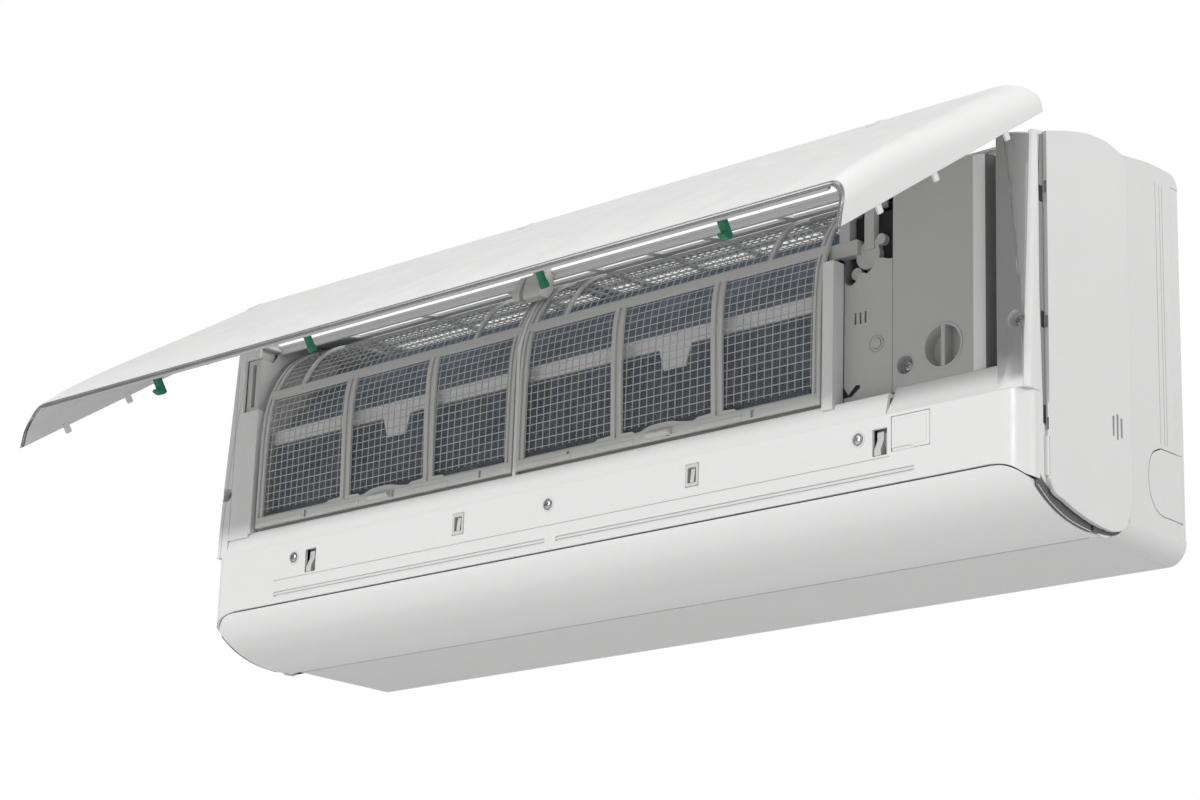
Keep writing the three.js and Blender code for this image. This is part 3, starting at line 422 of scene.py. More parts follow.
def add(a, *parts):
    flat = []
    for t in parts:
        flat += t if isinstance(t, (list, tuple)) else [t]
    return solve(a, *[("+", t) for t in flat])

def copy_of(o):
    c = bpy.data.objects.new("w", o.data.copy())
    WORK.objects.link(c)
    return c

def mirrored(o):
    c = copy_of(o)
    bm = bmesh.new()
    bm.from_mesh(c.data)
    for v in bm.verts:
        v.co.x = -v.co.x
    bmesh.ops.reverse_faces(bm, faces=bm.faces[:])
    bm.to_mesh(c.data)
    bm.free()
    return c

def moved(o, m):
    o.data.transform(m)
    if m.determinant() < 0:
        o.data.flip_normals()
    return o

TO_ROW = Matrix.Scale(0.001, 4) @ Matrix.Translation((0, 0, -150))

def piece(name, body, parts, keys, replaces=(), sharp=32, bevel=0.0, seg=2, turn=None):
    """parts: solids, or (solid, number in keys). keys: material names."""
    keys = [keys] if isinstance(keys, str) else keys
    bm = bmesh.new()
    for p in parts if isinstance(parts, (list, tuple)) else [parts]:
        o, mi = p if isinstance(p, tuple) else (p, 0)
        n0 = len(bm.faces)
        bm.from_mesh(o.data)
        bm.faces.ensure_lookup_table()
        for f in bm.faces[n0:]:
            f.material_index = mi
        bpy.data.objects.remove(o)
    if turn is not None:
        bmesh.ops.transform(bm, matrix=turn, verts=bm.verts[:])
    bmesh.ops.transform(bm, matrix=TO_ROW, verts=bm.verts[:])
    me = bpy.data.meshes.new(name)
    bm.to_mesh(me)
    bm.free()
    me.shade_smooth()
    me.set_sharp_from_angle(angle=math.radians(sharp))
    ob = bpy.data.objects.new(name, me)
    bpy.context.scene.collection.objects.link(ob)
    for k in keys:
        me.materials.append(M[k])
    if bevel:
        b = ob.modifiers.new("edge", "BEVEL")
        b.width, b.segments, b.limit_method, b.angle_limit = bevel * 0.001, seg, "ANGLE", math.radians(38)
        b.use_clamp_overlap, b.harden_normals = True, True
    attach(ob, body)
    if replaces:
        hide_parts(*([replaces] if isinstance(replaces, str) else replaces))
    return ob

# ------------------------------------------------------------------ dimensions
HC, HE = 425.0, 428.5
STRIP_Y, STRIP_TOP, SHELL = -201.0, 86.0, 2.5
HINGE = (-178.5, 294.0)
FACE = [(5, -203), (38, -206), (60, -208.2), (85, -209.3), (115, -209.4), (150, -208.6), (210, -207), (260, -205.8), (297, -205)]
PB, PF, PT = -179.5, -206.0, 297.0

def face_y(z):
    pts = FACE
    if z <= pts[0][0]:
        return pts[0][1] + (z - pts[0][0]) * (pts[1][1] - pts[0][1]) / (pts[1][0] - pts[0][0])
    for i in range(len(pts) - 1):
        if z <= pts[i + 1][0] or i == len(pts) - 2:
            p0, p1, p2, p3 = pts[max(i - 1, 0)], pts[i], pts[i + 1], pts[min(i + 2, len(pts) - 1)]
            t = (z - p1[0]) / (p2[0] - p1[0])
            m1 = (p2[1] - p0[1]) / (p2[0] - p0[0]) * (p2[0] - p1[0])
            m2 = (p3[1] - p1[1]) / (p3[0] - p1[0]) * (p2[0] - p1[0])
            return (2 * t ** 3 - 3 * t * t + 1) * p1[1] + (t ** 3 - 2 * t * t + t) * m1 + (-2 * t ** 3 + 3 * t * t) * p2[1] + (t ** 3 - t * t) * m2

def plan_point(k, z, out):
    """k: 0..1 left wing from its rear edge, 1..2 left corner, 2..3 front, 3..4 right corner, 4..5 right wing."""
    t = min(max((z - 40) / 257, 0), 1)
    y0 = face_y(z)
    hx, rx, ry = HE - out, 15 + 21 * t - out, 15 + 9.5 * t - out
    yc = y0 + out + ry
    if k <= 1:
        return (-hx, PB + (yc - PB) * k)
    if k <= 2:
        a = math.radians(180 + 90 * (k - 1))
        return (-(hx - rx) + rx * math.cos(a), yc + ry * math.sin(a))
    if k <= 3:
        return (-(hx - rx) + 2 * (hx - rx) * (k - 2), y0 + out)
    if k <= 4:
        a = math.radians(270 + 90 * (k - 3))
        return ((hx - rx) + rx * math.cos(a), yc + ry * math.sin(a))
    return (hx, yc + (PB - yc) * (k - 4 - 0))

EDGE = smooth([(-172, 6.5), (PB, 11.8), (-190, 21.5), (-197, 30), (-203, 36.4), (-206, 38), (-215, 38.3)], 5)

def edge_z(y):
    pts = EDGE
    for (y1, z1), (y2, z2) in zip(pts, pts[1:]):
        if y2 <= y <= y1:
            return z1 + (z2 - z1) * (y - y1) / (y2 - y1)
    return pts[0][1] if y > pts[0][0] else pts[-1][1]

def top_z(y):
    pts = [(-215, PT), (-191, PT), (-186, 294), (-178, 289.4), (-170, 284.6)]
    for (y1, z1), (y2, z2) in zip(pts, pts[1:]):
        if y1 <= y <= y2:
            return z1 + (z2 - z1) * (y - y1) / (y2 - y1)
    return PT

def z_at(k, out, fn, dz, z0):
    z = z0
    for _ in range(25):
        z = z * 0.5 + 0.5 * (fn(plan_point(k, z, out)[1]) + dz)
    return z

KS = [i / 6 for i in range(6)] + [1 + i / 22 for i in range(22)] + [2 + i / 12 for i in range(12)] + [3 + i / 22 for i in range(22)] + [4 + i / 6 for i in range(7)]

def band(o0, o1, lo, hi, rows, ks=KS, lo_dz=0.0, lo_dz1=None, hi_dz=0.0):
    """Closed skin between two offsets of the panel's face, from a lower line to an upper line."""
    lo_dz1 = lo_dz if lo_dz1 is None else lo_dz1
    verts, n = [], len(ks)
    for out, dz in ((o0, lo_dz), (o1, lo_dz1)):
        for r in range(rows + 1):
            for k in ks:
                a = z_at(k, out, edge_z, dz, 30.0) if lo == "edge" else lo
                b = z_at(k, out, edge_z, hi_dz, 30.0) if hi == "edge" else (z_at(k, out, top_z, 0, 290.0) if hi == "top" else hi)
                z = a + (b - a) * r / rows
                x, y = plan_point(k, z, out)
                verts.append((x, y, z))
    N = (rows + 1) * n
    f = []
    for s in (0, 1):
        for r in range(rows):
            for c in range(n - 1):
                i = s * N + r * n + c
                f.append([i, i + 1, i + n + 1, i + n])
    for c in range(n - 1):
        f.append([c, c + 1, N + c + 1, N + c])
        i = rows * n + c
        f.append([i, i + 1, N + i + 1, N + i])
    for r in range(rows):
        for c in (0, n - 1):
            i = r * n + c
            f.append([i, i + n, N + i + n, N + i])
    return raw(verts, f)

OPEN = math.radians(56)
TURN = Matrix.Translation((0, HINGE[0], HINGE[1])) @ Matrix.Rotation(-OPEN, 4, "X") @ Matrix.Translation((0, -HINGE[0], -HINGE[1]))

def screw(x, y, z, r=4.2, deep=0.0):
    """Cross-recessed pan head facing the room."""
    head = [(0, y - 0.2)]
    n = 28
    prof = [(r, y + 2.4), (r, y + 1.3), (r * 0.93, y + 0.7), (r * 0.75, y + 0.25), (r * 0.45, y + 0.05)]
    verts, faces = [], []
    for rr, yy in prof:
        for i in range(n):
            a = 2 * math.pi * i / n
            verts.append((x + rr * math.cos(a), yy, z + rr * math.sin(a)))
    for k in range(len(prof) - 1):
        for i in range(n):
            faces.append([k * n + i, k * n + (i + 1) % n, (k + 1) * n + (i + 1) % n, (k + 1) * n + i])
    faces.append(list(range(n)))
    faces.append([(len(prof) - 1) * n + i for i in range(n)])
    h = raw(verts, faces)
    a = 0.35
    cross = []
    for q in (0, 1):
        c, s = math.cos(a + q * math.pi / 2), math.sin(a + q * math.pi / 2)
        p = [(-2.3, -0.5), (2.3, -0.5), (2.3, 0.5), (-2.3, 0.5)]
        cross.append(Y([(x + u * c - v * s, z + u * s + v * c) for u, v in p], y - 1, y + 1.5))
    return add(cut(h, cross), Y(ring(x, z, 2.1, 16), y + 2.3, y + 12))

# ------------------------------------------------------------------ front panel
def make_panel():
    skin = band(0, 2.4, "edge", "top", 40, lo_dz=3.35)
    lip = band(2.35, 4.5, "edge", "edge", 3, ks=[k for k in KS if 2.0 <= k <= 3.0], lo_dz=0.9, hi_dz=4.4)
    parts = [skin, (lip, 1), B(-396, 396, PF - 2.0, PF + 3.6, 90, 92)]
    parts += [B(s * x - 7, s * x + 7, PF - 2.0, PF + 2.9, z - 8, z + 8) for s in (-1, 1) for x, z in ((300, 67), (124, 71.5))]
    for a, b in ((-399, -393), (-64, -60), (290, 296)):
        arm = X([(PF + 0.1, 278), (PF + 0.1, 294), (-184, 298)] + arc(HINGE[0], HINGE[1], 4.4, 120, -60, 14) + [(-186, 288)], a, b)
        parts.append(cut(arm, X(ring(HINGE[0], HINGE[1], 2.25, 20), a - 1, b + 1)))
    for s in (-1, 1):
        for z in (238, 138, 64):
            x0, x1 = sorted((s * 425.7, s * 427.3))
            parts.append(X([(PB - 2.5, z - 3), (-174.4, z - 3), (-173.5, z - 2.1), (-173.5, z + 2.1), (-174.4, z + 3), (PB - 2.5, z + 3)], x0, x1))
    piece("panel_shell", "panel", parts, ["panel", "lip"], replaces="front_panel", turn=TURN, sharp=35)
    a = band(0.1, 1.15, "edge", "edge", 3, lo_dz=0.0, hi_dz=3.05)
    b = band(1.15, 1.5, "edge", "edge", 2, lo_dz=0.55, hi_dz=3.0)
    c = band(1.5, 2.3, "edge", "edge", 3, lo_dz=0.1, hi_dz=3.05)
    piece("panel_trim_band", "panel", [a, b, c], "chrome", replaces="panel_trim", turn=TURN, sharp=40)

make_panel()

def hook(name, x, z, reach, node_name):
    prof = [(PF + 8, z - 3), (PF + 8, z + 2), (reach, z + 2), (reach + 0.6, z - 1), (reach, z - 4), (reach - 2, z - 6.4), (reach - 5, z - 8), (reach - 6, z - 6), (reach - 5.4, z - 3)]
    pts = [B(x - 5, x + 5, PF + 3.2, PF + 8, z - 6, z + 6), X(prof, x - 3, x + 3), X([(PF + 7.9, z + 1.9), (PF + 7.9, z + 5.4), (PF + 13, z + 1.9)], x - 0.9, x + 0.9)]
    piece(name, "panel", pts, "green", replaces=node_name, turn=TURN, bevel=0.35)

hook("hook_outer_left", -300, 67, -184, "panel_hook_outer_left")
hook("hook_outer_right", 300, 67, -184, "panel_hook_outer_right")
for nm, x in (("left", -124), ("right", 124)):
    stem = Y(ring(x, 71.5, 3.1, 28), PF + 3.6, -186)
    headp = Y(ring(x, 71.5, 3.6, 28), -189, -184)
    piece(f"hook_inner_{nm}", "panel", [B(x - 5, x + 5, PF + 3.2, PF + 4.1, 66, 77), add(stem, headp)], "green", replaces=f"panel_hook_inner_{nm}", turn=TURN, bevel=0.5, seg=3)

# ------------------------------------------------------------------ louvre
def make_louvre():
    skin = smooth([(-201, 33.6), (-198.6, 29.5), (-194, 23.8), (-186, 16.6), (-176, 10.6), (-162, 4.6), (-146, 0.6), (-128, -1.2), (-108.6, -0.2)], 7)
    inner = smooth([(-107.6, 2.4), (-127, 1.6), (-145.4, 3.4), (-161, 7.4), (-174.8, 13.4), (-184, 19), (-191.6, 25.8), (-196, 31), (-198.2, 33.6)], 5)
    body = X(skin + inner, -422.4, 422.4)
    line = smooth([(388, 40), (394, 34.2), (403.6, 32.9), (412.4, 29.8), (420.2, 24.4), (422.2, 22.6)], 5)
    corner = [(430, -10), (430, 40)] + line + [(422.35, -10)]
    v = cut(body, Y(corner, -215, -150), Y([(-x, z) for x, z in corner], -215, -150))
    for s in (-1, 1):
        v = add(v, X(ring(-109, 2.6, 3.2, 24), s * 414, s * 422.4), X(ring(-109, 2.6, 1.95, 20), s * 422, s * 424.8))
    piece("louvre_vane", "louvre", v, "louvre", replaces="louvre", sharp=30)
    # at each louvre end a dark sheet painted as the shade in the gap, with a thin white strip along its lower curve
    low = smooth([(-188, 18.4), (-176, 10.6), (-162, 4.6), (-146, 0.6), (-128, -1.2), (-123, -1.3)], 5)
    top = smooth([(-123, 4.9), (-146, 8.9), (-161, 13.7), (-172, 17.6), (-180, 21.7), (-187.4, 27.4)], 5)
    ends = []
    for q in (-1, 1):
        a, b = sorted((q * 422.45, q * 424.3))
        ends.append(X(offset(low, 0.2) + top, a, b))
        a, b = sorted((q * 422.45, q * 424.6))
        ends.append((X(offset(low, 0.7) + offset(low, 1.2)[::-1], a, b), 1))
    piece("louvre_ends", "louvre", ends, ["band", "louvre"], sharp=30)

make_louvre()

# ------------------------------------------------------------------ front frame
CHEEK = ([(-178, 25)] + smooth([(-178, 25), (-172, 16.2), (-161, 13), (-146, 8.6), (-125, 4.6), (-106, 3.2), (-92, 5.4), (-83, 12), (-75.4, 29)], 4)[1:]
         + smooth([(-75.4, 289), (-84, 292.4), (-93, 294.2), (-104, 295.6), (-125, 294), (-150, 288.2), (-178, 279.6)], 4))
TOP = smooth([(-40.6, 297), (-102, 295.2), (-125, 293.4), (-150, 288), (-164, 284.2), (-175, 279.5)], 4)

def strip_plan(i):
    return [(-425 + i, -185)] + arc(-411, -187, 14 - i, 180, 270, 14) + arc(411, -187, 14 - i, 270, 360, 14) + [(425 - i, -185)]

def corner_rows(o0, o1, z0, z1, n):
    """Rounded upright corner of the frame, just inside the shut panel."""
    ks = [3 + i / 14 for i in range(15)] + [4.1]
    verts, m = [], len(ks)
    for out in (o0, o1):
        for r in range(n + 1):
            z = z0 + (z1 - z0) * r / n
            for k in ks:
                x, y = plan_point(min(k, 4.0), z, out)
                if k > 4.0:
                    y = -184.0
                verts.append((x, y, z))
    N = (n + 1) * m
    f = []
    for s in (0, 1):
        for r in range(n):
            for c in range(m - 1):
                i = s * N + r * m + c
                f.append([i, i + 1, i + m + 1, i + m])
    for c in range(m - 1):
        f.append([c, c + 1, N + c + 1, N + c])
        i = n * m + c
        f.append([i, i + 1, N + i + 1, N + i])
    for r in range(n):
        for c in (0, m - 1):
            i = r * m + c
            f.append([i, i + m, N + i + m, N + i])
    return raw(verts, f)

def corner_block():
    """What lies outside the rounded corner, to cut the flat plates with."""
    rows = 18
    verts = []
    ks = [3 + i / 14 for i in range(15)]
    m = len(ks) + 3
    for r in range(rows + 1):
        z = 85.5 + (300 - 85.5) * r / rows
        a = [plan_point(k, z, 3.1) for k in ks]
        verts += [(x, y, z) for x, y in a] + [(a[-1][0], -179.6, z), (440, -179.6, z), (440, -216, z)]
        verts.append((a[0][0], -216, z))
    m += 1
    f = [list(range(m)), [rows * m + i for i in range(m)]]
    for r in range(rows):
        for c in range(m):
            f.append([r * m + c, r * m + (c + 1) % m, (r + 1) * m + (c + 1) % m, (r + 1) * m + c])
    return raw(verts, f)

def make_frame():
    side = [(-75.4, 29), (-83, 12), (-92, 5.4), (-104, -1.6), (-113, -1.6), (-119, 5), (-146, 9.8), (-161, 14.6), (-172, 18.4), (-180, 22.5), (-188, 29), (-188, 100.4), (-200, 100.4), (-200, 276), (-188, 279), (-176, 280), (-150, 287.6), (-125, 293), (-104, 294.6), (-84, 291.8), (-75.4, 288)]
    right = add(X(side, 422.9, 425), X(CHEEK, 424.9, HE))
    tools = [X(ring(-109, 2.6, 2.3, 20), 422, 426)]
    tools += [B(425.3, 427.8, -179, -172, z - 4.5, z + 4.5) for z in (238, 138, 64)]
    tools += [X(rrect(y - 1.2, y + 1.2, a, b, 1.0, 4), 424, 430) for y, a, b in ((-88.2, 74, 89), (-93.3, 71.6, 90.8), (-98.5, 73.4, 88.4))]
    right = cut(right, tools)
    f = add(right, mirrored(right))
    vane = [(-430, 10), (430, 10), (430, 21)] + smooth([(421, 25), (413, 30.6), (404, 33.8), (394, 35)], 5) + smooth([(-394, 35), (-404, 33.8), (-413, 30.6), (-421, 25)], 5) + [(-430, 21)]
    strip = cut(Z(strip_plan(0) + strip_plan(SHELL)[::-1], 18, STRIP_TOP + 0.4), Y(vane, -210, -150))
    shelf = [(STRIP_Y, STRIP_TOP), (-197.4, 102), (-196.4, 103.6), (-191.6, 104), (-191.6, 101.6), (-195, 99.9), (STRIP_Y + 2.5, STRIP_TOP)]
    f = add(f, strip, X(shelf, -411, 305), X([(STRIP_Y, 80), (STRIP_Y, STRIP_TOP + 0.1), (-187, 110), (-187, 107), (STRIP_Y + 2.5, 83)], 304.5, 402),
            B(-425, -384.6, -200, -197.4, 99.8, 276), B(-425, -405, -200, -186, 99.8, 102.4),
            B(-384.6, -382, -200, -178, 103, 232), B(246, 256, -200, -187.6, 100, 214), B(401, 425, -200.5, -197.9, 85.9, 276), B(-425, -410.6, -200, -197.4, 85.9, 100), B(401, 403.4, -198, -170, 99.8, 276),
            B(-425, -421, -200, -190, 99.8, 276), B(380, 403, -173, -170.5, 99.8, 276))
    top = add(X(TOP + [(y, z - 2.6) for y, z in TOP][::-1], -424, 424), X([(-164, 284.9), (-174.5, 279.6), (-174.5, 272), (-171.9, 272), (-171.9, 278), (-164, 281.6)], -424, 424))
    rows = [(-160, -126), (-118, -92), (-85, -64), (-58, -46)]
    cells = [(-337, -247), (-239, -143), (-135, -50), (-42, 14), (22, 74), (82, 150), (158, 232)]
    top = cut(top, [Z(rrect(c, d, a, b, 2.0, 3), 270, 300) for a, b in rows for c, d in cells], B(422.2, 430, -75.2, -35, 270, 300), B(-430, -422.2, -75.2, -35, 270, 300))
    cap = [(-174, 273.4), (-200, 273.4), (-200, 276), (-174, 280)]
    f = add(f, top, B(-425, -384.6, -200, -174, 273.4, 276), B(401, 425, -200, -174, 273.4, 276), X(cap, -425, -422), X(cap, 422, 425))
    post1 = [(-197, 103), (-197, 210), (-190, 231), (-181, 249), (-173, 262), (-173, 274), (-171.8, 274), (-171.8, 260), (-178, 248), (-187, 229), (-193, 210), (-193, 103)]
    post2 = [(-193.5, 109), (-193.5, 210), (-187.2, 228), (-180, 242.5), (-172, 256), (-172, 282), (-164, 282), (-164, 256), (-176.6, 236), (-185, 212), (-188.4, 200), (-188.4, 109)]
    f = add(f, X(post1, -69.2, -65.8), X(post2, -69.2, -65.8))
    # round the upright outer corners
    cb = corner_block()
    cm = mirrored(cb)
    f = cut(f, cb, cm)
    cr = corner_rows(3.1, 5.7, 86.0, 276, 18)
    cr = cut(cr, B(380, 401, -220, -180, 80, 300), B(380, 440, -220, -200.3, 80, 300))
    crm = mirrored(cr)
    f = add(f, cr, crm)
    # openings, screw seats, grooves
    cuts = []
    for s in (-1, 1):
        cuts += [B(s * 300 - 6.5, s * 300 + 6.5, -204, -195, 57, 77), B(s * 124 - 6.5, s * 124 + 6.5, -204, -195, 62.5, 80.5)]
    for x in (-321, -24.6, 280.5):
        cuts += [Y(ring(x, 72, 2.6, 20), -204, -195)]
    f = cut(f, cuts)
    f = add(f, B(409, 423, -198.4, -191.2, 129, 143), B(-423, -409, -198, -191.2, 135, 149))
    cuts = []
    for x, z in ((416.2, 136), (-416.2, 142)):
        cuts += [Y(ring(x, z, 6.2, 32), -208, -193.0), Y(ring(x, z, 2.6, 20), -208, -190)]
    cuts += [B(-402.4, -383.8, -201, -197, 214.4, 262.4), B(-385, -381, -201, -184, 214.4, 232.5), B(-400.6, -390.4, -193, -176, 272, 277)]
    cuts += [B(-344, -27, -203, -199.8, 40.9, 42.5), B(-344, -27, -203, -199.8, 43.5, 45.1), B(-15, 330, -203, -199.8, 40.9, 42.5), B(-15, 330, -203, -199.8, 43.5, 45.1)]
    cuts += [B(-345, 309, -203, -200.5, 54.8, 55.3), B(310, 344, -203, -196, 58, 84)]
    cuts += [B(-410.2, -409.7, -203, -199.5, 104, 258)]
    f = cut(f, cuts)
    # small raised features on the strip: pads round the fasteners
    f = add(f, [Y(ring(x, 72, 6.0, 32), -201.35, -200.6) for x in (-321, -24.6, 280.5)])
    f = cut(f, [Y(ring(x, 72, 4.7, 32), -204, -200.2) for x in (-321, -24.6, 280.5)])
    piece("frame_front", "wall_unit", f, "white", replaces="front_frame", sharp=28)

make_frame()

def make_recess():
    parts = []
    for q in (-1, 1):
        a, b = sorted((q * 424.9, q * 425.3))
        # thin grey sheet on the recess between the frame's front edge and the cheek, painted shade
        line = [(-178.1, 62), (-180.2, 64), (-181.4, 96), (-183.2, 150), (-184, 205), (-183.6, 276), (-178.1, 278)]
        parts.append(X(line, a, b))
        # black patches for the three slots, painted shade
        a, b = sorted((q * 425.2, q * 425.5))
        for y0, y1, z0, z1 in ((-183.4, -179.2, 226, 238), (-182.4, -178.6, 133, 145), (-180.6, -178.1, 64, 77)):
            parts.append((X([(y0, z0), (y1, z0), (y1, z1), (y0, z1)], a, b), 1))
    # wall beside the left filter's curved edge
    wall = X([(-182, 150), (-182, 262), (-176, 272), (-160, 281), (-138, 288), (-100, 292), (-64, 292), (-64, 150)], -387.4, -386.5)
    piece("left_return", "wall_unit", wall, "inner", sharp=30)
    piece("side_recess_painted_shade", "wall_unit", parts, ["recess", "slot"])
    under, fil = [], []
    for q in (-1, 1):
        a, b = sorted((q * 422.4, q * 425.3))
        # a dark arc under each cheek, painted shade between the cheek's curve and the chassis corner
        under.append(X([(-121, 4.9), (-113, 3.8), (-106, 3.4), (-99, 4.2), (-92, 5.8), (-86.5, 9.6), (-83, 12.4), (-78.4, 22), (-77.4, 21.6), (-81.6, 11), (-86, 7.0), (-91.5, 3.4), (-98, 1.2), (-106, 0.2), (-114, -0.3), (-121, 0.2)], a, b))
        fil.append(Z([(q * 425, -180.2), (q * 428.3, -178), (q * 424.9, -177.9)], 27, 55))
    piece("side_undercut_painted_shade", "wall_unit", under, "band", sharp=30)
    piece("side_fillet", "wall_unit", fil, "white", sharp=30)

make_recess()

# ------------------------------------------------------------------ strip fittings
def make_fittings():
    w = add(Y(rrect(310.4, 343.6, 58.4, 83.6, 0.8, 4), -200.9, -198.9), Y(rrect(313.6, 340.8, 61.2, 81.0, 0.8, 4), -201.2, -200.0))
    w = cut(w, Y([(309, 57), (330, 57), (330, 59.4), (326, 60.6), (309, 60.6)], -203, -200.1))
    piece("signal_lens", "wall_unit", w, "white", replaces="signal_window", bevel=0.15)
    for nm, s in (("left", -1), ("right", 1)):
        x = s * 124
        g = cut(Y(rrect(x - 6.2, x + 6.2, 62.8, 80.2, 1.2, 4), -201.4, -196.5), Y(rrect(x - 4.1, x + 4.1, 65.6, 77.4, 0.8, 4), -205, -190))
        lever = X([(-200.4, 66), (-199, 77.2), (-197.6, 77.2), (-198.2, 66)], x - 2.6, x + 1.4)
        piece(f"catch_{nm}", "wall_unit", [g, lever, (B(x - 6.0, x + 6.0, -196.4, -195.9, 63, 80), 1)], ["inner", "dark"], replaces=f"catch_insert_{nm}", bevel=0.2)
        # the latch inside each outer opening
        x = s * 300
        lv = X([(-200.2, 57.6), (-200.2, 62), (-196.6, 70), (-196.6, 76.4), (-194.8, 76.4), (-195, 57.6)], x - 5.6, x + 0.4)
        bk = B(x - 6.4, x + 6.4, -195.0, -194.2, 56, 78)
        piece(f"catch_outer_{nm}", "wall_unit", [lv, (bk, 1)], ["inner", "guide"], bevel=0.3)
    for nm, x in (("left", -321), ("centre", -24.6), ("right", 280.5)):
        piece(f"screw_strip_{nm}", "wall_unit", screw(x, STRIP_Y - 2.7 + 0.6, 72), "steel", replaces=f"strip_screw_{nm}", sharp=40)
    piece("screw_frame_right", "wall_unit", screw(416.2, -195.6, 136, 4.0), "steel", replaces="frame_screw_right", sharp=40)
    piece("screw_frame_left", "wall_unit", screw(-416.2, -195.6, 142, 4.0), "steel", replaces="frame_screw_left", sharp=40)

make_fittings()

# ------------------------------------------------------------------ filters
FL = smooth([(-198, 106.2), (-198, 150), (-197.6, 185), (-195.4, 211), (-190, 230), (-181, 248), (-169.5, 263), (-154, 274.6), (-136, 281.4), (-115, 284.6), (-90, 285.8), (-62, 285.8)], 5)

def clip(line, lo, hi):
    """Part of the filter line between two lengths along it."""
    acc, out = 0.0, []
    for p, q in zip(line, line[1:]):
        l = math.hypot(q[0] - p[0], q[1] - p[1])
        for t in (0.0, 1.0):
            s = acc + l * t
            if lo <= s <= hi:
                pt = (p[0] + (q[0] - p[0]) * t, p[1] + (q[1] - p[1]) * t)
                if not out or math.hypot(out[-1][0] - pt[0], out[-1][1] - pt[1]) > 0.3:
                    out.append(pt)
        for s in (lo, hi):
            if acc < s < acc + l:
                t = (s - acc) / l
                pt = (p[0] + (q[0] - p[0]) * t, p[1] + (q[1] - p[1]) * t)
                if s == lo:
                    out.insert(0, pt)
                else:
                    out.append(pt)
        acc += l
    return out

def length(line):
    return sum(math.hypot(b[0] - a[0], b[1] - a[1]) for a, b in zip(line, line[1:]))

LEN = length(FL)

def s_at_z(z):
    acc = 0.0
    for p, q in zip(FL, FL[1:]):
        l = math.hypot(q[0] - p[0], q[1] - p[1])
        if p[1] <= z <= q[1]:
            return acc + l * (z - p[1]) / max(q[1] - p[1], 1e-6)
        acc += l
    return acc

def bar(lo, hi, x0, x1, t0=0.0, t1=-2.6):
    return X(strip_of(clip(FL, lo, hi), t0, t1), x0, x1)

def rib(lo, hi, c, w, t0=0.0, t1=-2.6, r=0.6, lean=0.0):
    """Rib along the curve with softened front edges."""
    line = clip(FL, lo, hi)
    a, b, d = offset(line, t0), offset(line, t0 - r), offset(line, t1)
    n = len(line)
    verts = []
    for i in range(n):
        q = c + lean * max(0.0, (line[i][1] - 106) / 122)
        for x, p in ((q - w, d[i]), (q - w, b[i]), (q - w + r, a[i]), (q + w - r, a[i]), (q + w, b[i]), (q + w, d[i])):
            verts.append((x, p[0], p[1]))
    f = [[0, 1, 2, 3, 4, 5], [(n - 1) * 6 + k for k in range(6)]]
    for i in range(n - 1):
        for k in range(6):
            f.append([i * 6 + k, i * 6 + (k + 1) % 6, (i + 1) * 6 + (k + 1) % 6, (i + 1) * 6 + k])
    return raw(verts, f)

